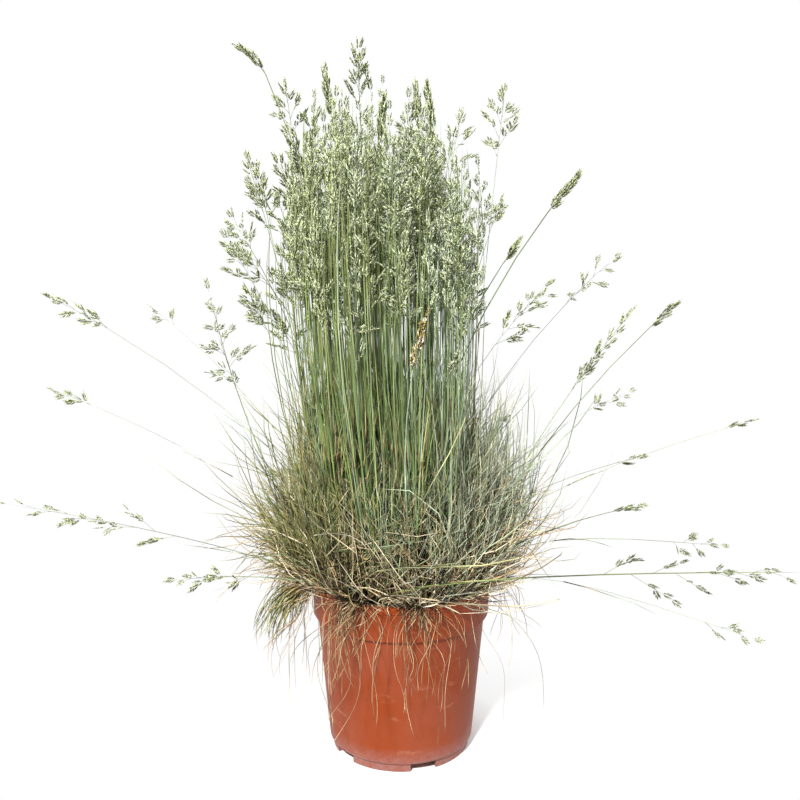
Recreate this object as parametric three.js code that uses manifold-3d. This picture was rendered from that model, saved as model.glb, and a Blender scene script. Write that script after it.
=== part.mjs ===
// Potted wallis fescue: a clump of fine blue-green grass in a round plastic nursery pot.
// Millimetres, +Z up. The origin is on the pot's axis, at the level of its feet. The front faces -Y.

import * as THREE from "three";
import { mergeVertices } from "three/addons/utils/BufferGeometryUtils.js";
import Module from "manifold-3d";

const wasm = await Module();
wasm.setup();

// Pot
const potHeight = 176;
const lipRadius = 89.6;
const lipDepth = 7;
const collarTopRadius = 88.2;
const collarBottomRadius = 87.2;
const collarBottomZ = 141;
const wallTopRadius = 83.2;
const wallTopZ = 138;
const wallBottomRadius = 72.5;
const wallBottomZ = 8;
const footRadius = 66;
const footInnerRadius = 62;
const wallThickness = 1.8;
const basePlateZ = 7;
const basePlateThickness = 2;
const potSides = 32;
const footNotchCount = 5;
const footNotchFirstAngle = -71.4;
const footNotchWidth = 26;
const drainRadius = 5;
const drainReach = 48;
const drainSides = 8;
const drainDepth = 8;

// Potting mix
const seatGap = 0.3;
const soilTopZ = 158;
const soilBump = 2.5;
const soilSides = 16;
const soilRings = [70];

// Tufts: one in the middle, then a ring of six and a ring of twelve
const tuftRings = [
  { count: 1, radius: 0 },
  { count: 6, radius: 31 },
  { count: 12, radius: 60 },
];
const crownBottomZ = 128;
const crownTopZ = 180;
const crownBottomRadius = 7.5;
const crownTopRadius = 4.5;
const crownSides = 5;

// Leaves: leans are degrees off the vertical, and each pair is the range that a leaf is drawn from
const leafRootRadius = 0.8;
const leafTipRadius = 0.42;
const leafSegments = 4;
const leafRootReach = 2.5;
const leafRootDepth = 10;
const innerLeaf = {
  count: 4, spread: 180, startLean: [3, 16], endLean: [22, 70], length: [170, 245], bendPower: 1.3,
};
const outerLeaf = {
  count: 5, spread: 60, startLean: [8, 42], endLean: [62, 118], length: [165, 245], bendPower: 1.3,
};
const leafReachLimit = 236;

// Flowering culms
const culmRootRadius = 0.95;
const culmTipRadius = 0.5;
const panicleCoreRadius = 1.9;
const culmRootDepth = 14;
const uprightCulmHeight = [560, 692];
const uprightPanicleLength = 135;
const uprightPanicleRings = 3;
const uprightSpikeletCount = 7;
const splayedPanicleRings = 2;
const splayedSpikeletSpacing = 18;
const spikeletLength = 16;
const spikeletRadius = 1.8;
const spikeletLean = [22, 38];
const standLeanX = -24;
const standSpread = 1.75;
const standScatter = 26;

// Dead leaves bent over the rim
const deadBunchCount = 9;
const deadBunchReach = 77.5;
const deadCrownRadius = 3.4;
const deadCrownSides = 3;
const deadCrownBottomZ = 136;
const deadCrownTopZ = 172;
const deadLeafSegments = 5;
const deadLeafRootDepth = 6;
const deadLeaf = {
  count: 6, spread: 45, startLean: [-55, 5], endLean: [150, 188], length: [120, 250], bendPower: 0.5,
};

// Clearance kept between the pieces of different tufts, and for most tries between a tuft's own
const growthGap = 1;
const sampleStep = 2;
const missOwnShare = 0.8;

const up = new THREE.Vector3(0, 0, 1);
const degree = Math.PI / 180;
const weldDistance = 1e-4;
const smallestDetail = 0.01;

// A repeatable random draw between two bounds
function makeRandom(seed) {
  let state = seed;
  return (low, high) => {
    state = (state + 0x6d2b79f5) | 0;
    let mixed = Math.imul(state ^ (state >>> 15), 1 | state);
    mixed = (mixed + Math.imul(mixed ^ (mixed >>> 7), 61 | mixed)) ^ mixed;
    const unit = ((mixed ^ (mixed >>> 14)) >>> 0) / 4294967296;
    return low + (high - low) * unit;
  };
}

const random = makeRandom(20718);

// A closed geometry as a solid for joining and cutting, with its faces turned outwards
function toSolid(geometry) {
  const bare = geometry.clone();
  bare.deleteAttribute("normal");
  bare.deleteAttribute("uv");
  const merged = mergeVertices(bare, weldDistance);
  const corners = merged.attributes.position.array;
  const faces = [];
  let volume = 0;
  for (let i = 0; i < merged.index.count; i += 3) {
    const [a, b, c] = [0, 1, 2].map((corner) => merged.index.array[i + corner]);
    if (a === b || b === c || c === a) {
      continue;
    }
    faces.push([a, b, c]);
    const [pa, pb, pc] = [a, b, c].map((corner) => new THREE.Vector3().fromArray(corners, 3 * corner));
    volume += pa.dot(pb.cross(pc));
  }
  const turned = volume < 0 ? faces.map(([a, b, c]) => [a, c, b]) : faces;
  return new wasm.Manifold(
    new wasm.Mesh({
      numProp: 3,
      vertProperties: new Float32Array(corners),
      triVerts: new Uint32Array(turned.flat()),
    }),
  );
}

// The geometries joined in one solid: its largest piece, with no loose scrap and no sealed hollow
function fuse(geometries) {
  const joined = wasm.Manifold.union(geometries.map(toSolid)).simplify(smallestDetail);
  return joined.decompose().sort((a, b) => b.volume() - a.volume())[0];
}

function toMesh(name, solid, colour, roughness) {
  const { vertProperties, triVerts } = solid.getMesh();
  const geometry = new THREE.BufferGeometry();
  geometry.setAttribute("position", new THREE.BufferAttribute(new Float32Array(vertProperties), 3));
  geometry.setIndex(new THREE.BufferAttribute(new Uint32Array(triVerts), 1));
  geometry.computeVertexNormals();
  const material = new THREE.MeshStandardMaterial({ color: colour, roughness, metalness: 0 });
  const mesh = new THREE.Mesh(geometry, material);
  mesh.name = name;
  return mesh;
}

// A round solid from its outline, given as [radius, height] pairs
function turned(outline, sides) {
  const points = outline.map(([radius, height]) => new THREE.Vector2(radius, height));
  return new THREE.LatheGeometry(points, sides).rotateX(90 * degree);
}

// A point at a distance from the axis, at an angle from +X
function polar(radius, angle, z) {
  return new THREE.Vector3(radius * Math.cos(angle), radius * Math.sin(angle), z);
}

// The pot's inner radius at a height, on its tapering wall and its collar
function potInnerRadius(z) {
  const taper = (z - wallBottomZ) / (wallTopZ - wallBottomZ);
  const wallRadius = wallBottomRadius + (wallTopRadius - wallBottomRadius) * taper;
  const outer = z > collarBottomZ ? collarBottomRadius : wallRadius;
  return outer - wallThickness;
}

// The pot: a lathed shell with a notched foot ring and a pierced base plate
function buildPot() {
  const plateTopZ = basePlateZ + basePlateThickness;
  const shell = turned([
    [0, basePlateZ],
    [footInnerRadius, basePlateZ],
    [footInnerRadius, 0],
    [footRadius, 0],
    [wallBottomRadius, wallBottomZ],
    [wallTopRadius, wallTopZ],
    [collarBottomRadius, collarBottomZ],
    [collarTopRadius, potHeight - lipDepth - 1],
    [lipRadius, potHeight - lipDepth],
    [lipRadius, potHeight],
    [collarTopRadius - wallThickness, potHeight],
    [collarBottomRadius - wallThickness, collarBottomZ + 1],
    [wallTopRadius - wallThickness, wallTopZ + 1],
    [potInnerRadius(plateTopZ), plateTopZ],
    [0, plateTopZ],
  ], potSides);
  let pot = toSolid(shell);
  for (let i = 0; i < footNotchCount; i += 1) {
    const angle = (footNotchFirstAngle + (360 / footNotchCount) * i) * degree;
    const notch = new THREE.BoxGeometry(20, footNotchWidth, 2 * (basePlateZ - 1));
    notch.rotateZ(angle).translate(...polar(footRadius, angle, 0));
    pot = pot.subtract(toSolid(notch));
    const drain = new THREE.CylinderGeometry(drainRadius, drainRadius, drainDepth, drainSides);
    drain.rotateX(90 * degree);
    drain.translate(...polar(drainReach, angle, basePlateZ));
    pot = pot.subtract(toSolid(drain));
  }
  return pot;
}

// A bundle of leaf sheaths, narrowing upwards, on an upright axis
function crownGeometry(centre, bottomRadius, topRadius, bottomZ, topZ, sides) {
  const height = topZ - bottomZ;
  const crown = new THREE.CylinderGeometry(topRadius, bottomRadius, height, sides);
  return crown.rotateX(90 * degree).translate(centre.x, centre.y, bottomZ + height / 2);
}

// The potting mix: a filled taper with a lumpy top and a plain hole under each crown
function buildSoil(crowns) {
  const bottomZ = basePlateZ + basePlateThickness + seatGap;
  const sink = 0.5;
  const ledgeRise = 1.4;
  const body = turned([
    [0, bottomZ],
    [potInnerRadius(bottomZ) - seatGap, bottomZ],
    [wallTopRadius - wallThickness - seatGap, wallTopZ + ledgeRise],
    [collarBottomRadius - wallThickness - seatGap, collarBottomZ + ledgeRise],
    [collarBottomRadius - wallThickness - seatGap, soilTopZ - 2],
    ...soilRings.toReversed().map((radius) => [radius, soilTopZ]),
    [0, soilTopZ + 1],
  ], soilSides);
  const corners = body.attributes.position;
  for (let i = 0; i < corners.count; i += 1) {
    const [x, y, z] = [corners.getX(i), corners.getY(i), corners.getZ(i)];
    if (z >= soilTopZ - sink) {
      const lump = Math.sin(0.13 * x + 1) * Math.cos(0.17 * y) + 0.6 * Math.sin(0.31 * x - 0.23 * y);
      corners.setZ(i, z + (soilBump * lump) / 1.6);
    }
  }
  let soil = toSolid(body);
  for (const crown of crowns) {
    const hole = crownGeometry(
      crown.centre,
      crown.bottomRadius + 1.5 * seatGap,
      crown.topRadius + 1.5 * seatGap,
      crown.bottomZ - seatGap,
      crown.topZ,
      crown.sides,
    );
    soil = soil.subtract(toSolid(hole));
  }
  return soil.simplify(smallestDetail);
}

// A three-sided blade, stem or stalk through its ring centres, with a radius at each ring
function bentPrism(points, radii) {
  const segments = points.length - 1;
  const prism = new THREE.CylinderGeometry(1, 1, 1, 3, segments);
  const tangents = points.map((_, i) => {
    const next = points[Math.min(i + 1, segments)];
    const last = points[Math.max(i - 1, 0)];
    return next.clone().sub(last).normalize();
  });
  const span = points[segments].clone().sub(points[0]);
  const side = new THREE.Vector3(-span.y, span.x, 0);
  if (side.length() < 1) {
    side.set(0, 1, 0);
  }
  side.normalize();
  const corners = prism.attributes.position;
  for (let i = 0; i < corners.count; i += 1) {
    const ring = Math.round((corners.getY(i) + 0.5) * segments);
    const across = side.clone().multiplyScalar(corners.getX(i) * radii[ring]);
    const outward = side.clone().cross(tangents[ring]).normalize();
    outward.multiplyScalar(corners.getZ(i) * radii[ring]);
    const corner = points[ring].clone().add(across).add(outward);
    corners.setXYZ(i, corner.x, corner.y, corner.z);
  }
  return prism;
}

// A spikelet: a three-sided double point, from its foot along a direction
function spikeletGeometry(foot, direction, length, radius) {
  const spikelet = new THREE.SphereGeometry(1, 3, 2);
  spikelet.scale(radius, length / 2, radius);
  spikelet.applyQuaternion(new THREE.Quaternion().setFromUnitVectors(new THREE.Vector3(0, 1, 0), direction));
  return spikelet.translate(...foot.clone().addScaledVector(direction, length / 2));
}

// What already grows, kept as small balls in a grid of cells, so that new growth can stay clear of it
const cellSize = 8;
const grownCells = new Map();

function cellKey(i, j, k) {
  return (i + 200) * 160000 + (j + 200) * 400 + (k + 200);
}

function recordGrowth(balls, owner) {
  for (const { point, radius } of balls) {
    const [i, j, k] = point.toArray().map((value) => Math.floor(value / cellSize));
    const key = cellKey(i, j, k);
    if (!grownCells.has(key)) {
      grownCells.set(key, []);
    }
    grownCells.get(key).push({ point, radius, owner });
  }
}

// Whether the balls miss all that grows, and the owner's own growth too if that is asked for
function isClearOfGrowth(balls, owner, missOwn) {
  for (const { point, radius } of balls) {
    const [i, j, k] = point.toArray().map((value) => Math.floor(value / cellSize));
    for (let di = -1; di <= 1; di += 1) {
      for (let dj = -1; dj <= 1; dj += 1) {
        for (let dk = -1; dk <= 1; dk += 1) {
          for (const other of grownCells.get(cellKey(i + di, j + dj, k + dk)) ?? []) {
            const reach = radius + other.radius + growthGap;
            const counts = other.owner !== owner || missOwn;
            if (counts && point.distanceToSquared(other.point) < reach * reach) {
              return false;
            }
          }
        }
      }
    }
  }
  return true;
}

// Whether the balls stay above the soil and the rim, or outside the pot, with a margin to its wall and lip
function isClearOfPot(balls) {
  const margin = 1.2;
  return balls.every(({ point, radius }) => {
    const reach = Math.hypot(point.x, point.y);
    const inside = reach < potInnerRadius(potHeight) - margin - radius;
    const outside = reach > lipRadius + margin + radius;
    const aboveRim = point.z > potHeight + margin + radius;
    return aboveRim || outside || (inside && point.z > soilTopZ);
  });
}

// Balls along the lines between ring centres, from a distance past the root
function ballsAlong(points, radii, skippedLength) {
  const balls = [];
  let travelled = 0;
  for (let i = 0; i + 1 < points.length; i += 1) {
    const length = points[i].distanceTo(points[i + 1]);
    const steps = Math.ceil(length / sampleStep);
    for (let step = 1; step <= steps; step += 1) {
      const share = step / steps;
      if (travelled + share * length > skippedLength) {
        balls.push({
          point: points[i].clone().lerp(points[i + 1], share),
          radius: radii[i] + (radii[i + 1] - radii[i]) * share,
        });
      }
    }
    travelled += length;
  }
  return balls;
}

// Ring centres of a blade drawn from a shape's ranges, leaning further off the vertical as it grows
function archingPoints(root, azimuth, shape, segments) {
  const startLean = random(...shape.startLean);
  const endLean = random(...shape.endLean);
  const stepLength = random(...shape.length) / segments;
  const points = [root.clone()];
  for (let i = 0; i < segments; i += 1) {
    const share = (i + 0.5) / segments;
    const lean = (startLean + (endLean - startLean) * share ** shape.bendPower) * degree;
    const step = polar(Math.sin(lean), azimuth, Math.cos(lean));
    points.push(points[i].clone().addScaledVector(step, stepLength));
  }
  return points;
}

function evenRadii(rootRadius, tipRadius, segments) {
  const taper = (tipRadius - rootRadius) / segments;
  return Array.from({ length: segments + 1 }, (_, i) => rootRadius + taper * i);
}

// A tuft or a bunch of dead leaves: its crown, and the pieces that grow from it
function makeClump(name, centre, bottomRadius, topRadius, bottomZ, topZ, sides) {
  const crown = { centre, bottomRadius, topRadius, bottomZ, topZ, sides };
  const axis = [new THREE.Vector3(centre.x, centre.y, soilTopZ), new THREE.Vector3(centre.x, centre.y, topZ)];
  recordGrowth(ballsAlong(axis, [bottomRadius, topRadius + 1], 0), name);
  return { name, crown, pieces: [crownGeometry(centre, bottomRadius, topRadius, bottomZ, topZ, sides)] };
}

// Tries drawn shapes for a blade until one is clear of everything, and adds it to its clump
function growBlade(clump, draw, radii, rootClearance) {
  const tries = 140;
  for (let attempt = 0; attempt < tries; attempt += 1) {
    const points = draw();
    const balls = ballsAlong(points, radii, rootClearance);
    const missOwn = attempt < tries * missOwnShare;
    const tip = points.at(-1);
    const tooWide = Math.hypot(tip.x, tip.y) > leafReachLimit;
    if (!tooWide && isClearOfPot(balls) && isClearOfGrowth(balls, clump.name, missOwn)) {
      clump.pieces.push(bentPrism(points, radii));
      recordGrowth(balls, clump.name);
      return;
    }
  }
}

// A point and direction on the lines between ring centres, at a share of the way
function alongRings(points, share) {
  const place = share * (points.length - 1);
  const ring = Math.min(Math.floor(place), points.length - 2);
  const direction = points[ring + 1].clone().sub(points[ring]).normalize();
  return { point: points[ring].clone().lerp(points[ring + 1], place - ring), direction };
}

// Spikelets set round a rachis by the golden angle, leaning out from it and shorter towards its tip
function spikeletsAround(rachis, count) {
  const goldenAngle = 137.5 * degree;
  const firstTurn = random(0, 2 * Math.PI);
  const spikelets = [];
  for (let i = 0; i < count; i += 1) {
    const share = (i + 0.3) / count;
    const { point, direction } = alongRings(rachis, share);
    const across = new THREE.Vector3(direction.z, 0, -direction.x).normalize();
    across.applyAxisAngle(direction, firstTurn + goldenAngle * i);
    const lean = random(...spikeletLean) * degree * (1 - 0.4 * share);
    const heading = direction.clone().multiplyScalar(Math.cos(lean)).addScaledVector(across, Math.sin(lean));
    const length = spikeletLength * random(0.85, 1.15) * (1 - 0.3 * share);
    spikelets.push({ foot: point, heading, length });
  }
  return spikelets;
}

function spikeletBalls({ foot, heading, length }) {
  return [0.45, 0.7, 0.95].map((share) => ({
    point: foot.clone().addScaledVector(heading, share * length),
    radius: spikeletRadius * 0.8,
  }));
}

// A flowering culm: a stem, a rachis thickened by its packed florets, and spikelets round it
function growCulm(clump, drawPoints, panicleRings, spikeletCount) {
  const tries = 120;
  const rootClearance = 26;
  for (let attempt = 0; attempt < tries; attempt += 1) {
    const points = drawPoints();
    const stemRings = points.length - 1 - panicleRings;
    const radii = points.map((_, i) => {
      if (i === points.length - 1) {
        return culmTipRadius;
      }
      return i > stemRings ? panicleCoreRadius : culmRootRadius - (0.3 * i) / stemRings;
    });
    const spikelets = spikeletsAround(points.slice(stemRings), spikeletCount);
    const balls = [...ballsAlong(points, radii, rootClearance), ...spikelets.flatMap(spikeletBalls)];
    if (isClearOfPot(balls) && isClearOfGrowth(balls, clump.name, attempt < tries * missOwnShare)) {
      clump.pieces.push(bentPrism(points, radii));
      for (const { foot, heading, length } of spikelets) {
        clump.pieces.push(spikeletGeometry(foot, heading, length, spikeletRadius));
      }
      recordGrowth(balls, clump.name);
      return;
    }
  }
}

// Ring centres of an upright culm: it rises, leans out with its place in the stand, and nods at its tip
function uprightCulmPoints(centre) {
  const height = random(...uprightCulmHeight);
  const root = new THREE.Vector3(
    centre.x + random(-leafRootReach, leafRootReach),
    centre.y + random(-leafRootReach, leafRootReach),
    crownTopZ - culmRootDepth,
  );
  const tip = new THREE.Vector3(
    centre.x * standSpread + standLeanX + random(-standScatter, standScatter),
    centre.y * standSpread + random(-standScatter, standScatter),
    height,
  );
  const bow = new THREE.Vector3(
    root.x + (tip.x - root.x) * random(0.32, 0.5),
    root.y + (tip.y - root.y) * random(0.32, 0.5),
    root.z + (tip.z - root.z) * 0.55,
  );
  const curve = new THREE.QuadraticBezierCurve3(root, bow, tip);
  const stemShare = 1 - uprightPanicleLength / (tip.z - root.z);
  const shares = [0, stemShare / 2, stemShare, (1 + 2 * stemShare) / 3, (2 + stemShare) / 3, 1];
  return shares.map((share) => curve.getPoint(share));
}

// Culms that splay out of the stand: where each tip ends, how steeply it leaves, and its panicle's length
const splayedCulms = [
  { tip: [-390, -22, 262], rise: 60, panicle: 190 },
  { tip: [-354, 34, 366], rise: 90, panicle: 70 },
  { tip: [-318, -30, 462], rise: 130, panicle: 90 },
  { tip: [-264, 110, 446], rise: 120, panicle: 64 },
  { tip: [-200, 44, 452], rise: 150, panicle: 90 },
  { tip: [-228, -66, 196], rise: 50, panicle: 80 },
  { tip: [-155, 0, 682], rise: 260, panicle: 70 },
  { tip: [-160, -14, 566], rise: 220, panicle: 120 },
  { tip: [167, 6, 572], rise: 220, panicle: 80 },
  { tip: [108, -34, 508], rise: 200, panicle: 60 },
  { tip: [262, 0, 455], rise: 120, panicle: 70 },
  { tip: [214, 120, 474], rise: 140, panicle: 80 },
  { tip: [372, 64, 322], rise: 80, panicle: 60 },
  { tip: [236, -18, 262], rise: 70, panicle: 80 },
  { tip: [390, -62, 202], rise: 45, panicle: 160 },
  { tip: [345, 42, 188], rise: 55, panicle: 80 },
  { tip: [-70, -256, 300], rise: 90, panicle: 80 },
  { tip: [60, -190, 420], rise: 130, panicle: 80 },
  { tip: [130, 256, 300], rise: 90, panicle: 80 },
  { tip: [-90, 230, 400], rise: 120, panicle: 80 },
];

// Ring centres of a splayed culm from its tuft to its tip
function splayedCulmPoints(centre, { tip, rise, panicle }) {
  const end = new THREE.Vector3(...tip);
  const root = centre.clone().addScaledVector(up, crownTopZ - culmRootDepth);
  const out = end.clone().sub(root).setZ(0);
  const wander = new THREE.Vector3(random(-16, 16), random(-16, 16), random(-8, 8));
  const lift = root.clone().addScaledVector(up, rise).addScaledVector(out, 0.18).add(wander);
  const reach = root.clone().lerp(end, 0.62).addScaledVector(up, rise * 0.35).addScaledVector(wander, 0.6);
  const curve = new THREE.CubicBezierCurve3(root, lift, reach, end);
  const stemShare = 1 - panicle / curve.getLength();
  const shares = [0, 0.25, 0.5, 0.75, 1].map((share) => share * stemShare);
  shares.push((1 + stemShare) / 2, 1);
  return shares.map((share) => curve.getPointAt(share));
}

// The outer tuft whose side of the pot a splayed culm leaves by
function nearestTuft(tufts, tip) {
  const heading = new THREE.Vector3(tip[0], tip[1], 0).normalize().multiplyScalar(60);
  const distance = (tuft) => tuft.crown.centre.distanceTo(heading) + 40 * tuft.splayedCount;
  return tufts.toSorted((a, b) => distance(a) - distance(b))[0];
}

function twoDigits(number) {
  return String(number).padStart(2, "0");
}

// Tufts and dead bunches stand first, so that growth can pass between them
const tufts = [];
for (const { count, radius } of tuftRings) {
  for (let i = 0; i < count; i += 1) {
    const angle = (360 / count) * (i + 0.5) * degree;
    const centre = polar(radius, angle, 0).add(new THREE.Vector3(random(-1.5, 1.5), random(-1.5, 1.5), 0));
    const name = `tuft_${twoDigits(tufts.length + 1)}`;
    const clump = makeClump(
      name, centre, crownBottomRadius, crownTopRadius, crownBottomZ, crownTopZ, crownSides,
    );
    tufts.push({ ...clump, ringRadius: radius, splayedCount: 0 });
  }
}

const deadBunches = [];
for (let i = 0; i < deadBunchCount; i += 1) {
  const angle = (360 / deadBunchCount) * i * degree;
  const centre = polar(deadBunchReach, angle, 0);
  const name = `dead_leaves_${twoDigits(i + 1)}`;
  const clump = makeClump(
    name, centre, deadCrownRadius, deadCrownRadius - 1, deadCrownBottomZ, deadCrownTopZ, deadCrownSides,
  );
  deadBunches.push({ ...clump, angle });
}

// Splayed culms grow first, because their tips set how far the plant reaches
for (const culm of splayedCulms) {
  const tuft = nearestTuft(tufts, culm.tip);
  const spikeletCount = Math.round(culm.panicle / splayedSpikeletSpacing);
  tuft.splayedCount += 1;
  growCulm(tuft, () => splayedCulmPoints(tuft.crown.centre, culm), splayedPanicleRings, spikeletCount);
}

// Then the upright stand: two culms from a tuft, and one from the middle tuft
for (const tuft of tufts) {
  const culmCount = tuft.ringRadius > 0 ? 2 : 1;
  for (let i = 0; i < culmCount; i += 1) {
    growCulm(tuft, () => uprightCulmPoints(tuft.crown.centre), uprightPanicleRings, uprightSpikeletCount);
  }
}

// Grows a shape's count of blades from a clump, each on a drawn heading off a middle one
function growBlades(clump, shape, heading, rootReach, rootZ, segments, rootClearance) {
  const { centre } = clump.crown;
  const radii = evenRadii(leafRootRadius, leafTipRadius, segments);
  for (let i = 0; i < shape.count; i += 1) {
    const draw = () => {
      const azimuth = heading + random(-shape.spread, shape.spread) * degree;
      const root = polar(rootReach, azimuth, rootZ).add(centre);
      return archingPoints(root, azimuth, shape, segments);
    };
    growBlade(clump, draw, radii, rootClearance);
  }
}

// Green leaves: steep in the middle tufts, arching outwards from the outer ones
for (const tuft of tufts) {
  const shape = tuft.ringRadius > tuftRings[1].radius ? outerLeaf : innerLeaf;
  const outwards = Math.atan2(tuft.crown.centre.y, tuft.crown.centre.x);
  growBlades(tuft, shape, outwards, leafRootReach, crownTopZ - leafRootDepth, leafSegments, 18);
}

// Dead leaves: up out of the mix, over the rim and down outside it
for (const bunch of deadBunches) {
  growBlades(bunch, deadLeaf, bunch.angle, 0, deadCrownTopZ - deadLeafRootDepth, deadLeafSegments, 10);
}

// The blue-grey of the right-hand tufts and the olive green of the left-hand ones
function tuftColour(centre) {
  const share = THREE.MathUtils.clamp(0.5 + centre.x / 120, 0, 1);
  return new THREE.Color(0x71803f).lerp(new THREE.Color(0x7f9690), share);
}

const plant = new THREE.Group();
plant.add(toMesh("pot", buildPot(), 0xa8492a, 0.55));
const crowns = [...tufts, ...deadBunches].map((clump) => clump.crown);
plant.add(toMesh("potting_mix", buildSoil(crowns), 0x2a211b, 1));
for (const tuft of tufts) {
  plant.add(toMesh(tuft.name, fuse(tuft.pieces), tuftColour(tuft.crown.centre), 0.7));
}
for (const bunch of deadBunches) {
  plant.add(toMesh(bunch.name, fuse(bunch.pieces), 0xb39a62, 0.85));
}

export default plant;
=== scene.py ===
"""Looks of the potted wallis fescue: its pot, potting mix, leaves, flowering culms and dead straw.

Metres, +Z up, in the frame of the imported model. The front faces -Y.
"""
import math
from collections import namedtuple

import bpy
import numpy as np
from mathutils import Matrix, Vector


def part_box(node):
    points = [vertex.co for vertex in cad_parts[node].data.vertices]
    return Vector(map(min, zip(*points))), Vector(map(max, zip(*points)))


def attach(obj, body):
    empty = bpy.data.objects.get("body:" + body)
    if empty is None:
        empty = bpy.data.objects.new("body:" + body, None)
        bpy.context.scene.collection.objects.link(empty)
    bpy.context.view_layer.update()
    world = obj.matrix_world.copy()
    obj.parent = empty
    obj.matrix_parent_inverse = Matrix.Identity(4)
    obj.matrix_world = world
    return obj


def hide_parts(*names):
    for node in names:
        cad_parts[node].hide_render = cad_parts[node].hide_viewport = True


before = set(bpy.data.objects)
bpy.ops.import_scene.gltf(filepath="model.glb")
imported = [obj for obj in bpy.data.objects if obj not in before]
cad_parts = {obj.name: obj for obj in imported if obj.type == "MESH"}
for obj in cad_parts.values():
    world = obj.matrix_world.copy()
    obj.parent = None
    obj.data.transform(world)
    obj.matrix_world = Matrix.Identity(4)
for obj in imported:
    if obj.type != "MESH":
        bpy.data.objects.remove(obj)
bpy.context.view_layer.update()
rng = np.random.default_rng(20718)

UP = np.array([0.0, 0.0, 1.0])
TURN = 2 * math.pi

# The pot's sizes that the growth has to respect
_, pot_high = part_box("pot")
POT_TOP = pot_high.z
LIP_RADIUS = pot_high.x
MOUTH_RADIUS = LIP_RADIUS - 0.0032
COLLAR_BOTTOM = 0.141
COLLAR_RADIUS = 0.0872
WALL_TOP = 0.138
WALL_TOP_RADIUS = 0.0832
WALL_BOTTOM = 0.0085
WALL_BOTTOM_RADIUS = 0.0725
SOIL_TOP = 0.158
BLADE_CLEARANCE = 0.0012

# Tufts: one in the middle, then a ring of six and a ring of twelve
TUFT_RINGS = ((1, 0.0), (6, 0.031), (12, 0.060))
OUTER_RING_RADIUS = TUFT_RINGS[-1][1]
CROWN_BOTTOM = 0.128
CROWN_RADIUS = 0.0075
BUNCH_COUNT = 9
BUNCH_REACH = 0.0775
BUNCH_RADIUS = 0.006

# How a kind of growth lies on the bake map, across its width: where its lane starts and how wide it is
LANES = {"leaf": (0.0, 0.3), "culm": (0.3, 0.16), "floret": (0.46, 0.3), "straw": (0.76, 0.24)}
KINDS = list(LANES)
STRIP = 0.03
GROWTH_MAP = "Growth"
BAKE_MAP = "OFBake"


def unit(vectors):
    """Vectors along the last axis, each made one long."""
    return vectors / np.maximum(np.linalg.norm(vectors, axis=-1, keepdims=True), 1e-12)


def heading(azimuth):
    """Level directions at angles from +X."""
    return np.stack([np.cos(azimuth), np.sin(azimuth), np.zeros_like(azimuth)], axis=-1)


def leaning(azimuth, lean):
    """Directions that lean off the vertical towards an azimuth."""
    return heading(azimuth) * np.sin(lean)[..., None] + UP * np.cos(lean)[..., None]


def dot(a, b):
    return (a * b).sum(axis=-1, keepdims=True)


def bezier(control, shares):
    """Points on cubic curves: control is (curves, 4, 3) and shares is (curves, points)."""
    t = shares[..., None]
    a, b, c, d = (control[:, None, i] for i in range(4))
    return a * (1 - t) ** 3 + 3 * b * t * (1 - t) ** 2 + 3 * c * t * t * (1 - t) + d * t**3


def through(points):
    """The cubic curve that passes four points, a third of the way apart."""
    a, b, c, d = np.array(points, float)
    return np.stack([a, (18 * b - 5 * a - 9 * c + 2 * d) / 6, (18 * c - 5 * d - 9 * b + 2 * a) / 6, d])


def shown_colour(red, green, blue):
    """A colour as a screen shows it, 0 to 255, in the linear values that a shader takes."""
    values = np.array([red, green, blue]) / 255
    linear = np.where(values <= 0.04045, values / 12.92, ((values + 0.055) / 1.055) ** 2.4)
    return (*linear, 1.0)


class Growth:
    """The faces of one piece, each with its material and its place on the maps."""

    def __init__(self):
        self.corners = []
        self.faces = []
        self.places = []
        self.kinds = []
        self.count = 0

    def add_faces(self, faces, across, along, tint, kind):
        """Adds faces of the corners that add_corners is given next.

        across and along run from 0 to 1 over a blade, and tint is one value a face.
        """
        start, width = LANES[kind]
        u = tint[:, None] * (1 - STRIP) + across * STRIP
        self.faces.append(faces + self.count)
        self.places.append(np.stack([u, along, start + width * u], axis=-1).reshape(-1, 3))
        self.kinds.append(np.full(len(faces), KINDS.index(kind)))

    def add_corners(self, corners):
        """Adds the corners of the faces before it."""
        self.corners.append(corners)
        self.count += len(corners)

    def build(self, name, materials):
        """The gathered faces as one object. Only the materials that it uses are put on it."""
        mesh = bpy.data.meshes.new(name)
        corners = np.concatenate(self.corners)
        loops = np.concatenate([faces.ravel() for faces in self.faces])
        sizes = np.concatenate([np.full(len(faces), faces.shape[1]) for faces in self.faces])
        kinds = np.concatenate(self.kinds)
        used = np.unique(kinds)
        mesh.vertices.add(len(corners))
        mesh.vertices.foreach_set("co", corners.astype(np.float32).ravel())
        mesh.loops.add(len(loops))
        mesh.loops.foreach_set("vertex_index", loops.astype(np.int32))
        mesh.polygons.add(len(sizes))
        mesh.polygons.foreach_set("loop_start", (np.cumsum(sizes) - sizes).astype(np.int32))
        mesh.polygons.foreach_set("material_index", np.searchsorted(used, kinds).astype(np.int32))
        places = np.concatenate(self.places)
        for layer, u in ((GROWTH_MAP, places[:, 0]), (BAKE_MAP, places[:, 2])):
            uv = np.stack([u, places[:, 1]], axis=-1).astype(np.float32)
            mesh.uv_layers.new(name=layer).uv.foreach_set("vector", uv.ravel())
        mesh.update(calc_edges=True)
        mesh.validate()
        mesh.shade_smooth()
        for kind in used:
            mesh.materials.append(materials[KINDS[kind]])
        piece = bpy.data.objects.new(name, mesh)
        bpy.context.scene.collection.objects.link(piece)
        return piece


def repeated(faces, count, step):
    """The faces of one strand, repeated for each strand."""
    return (faces[None] + step * np.arange(count)[:, None, None]).reshape(-1, faces.shape[1])


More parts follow.
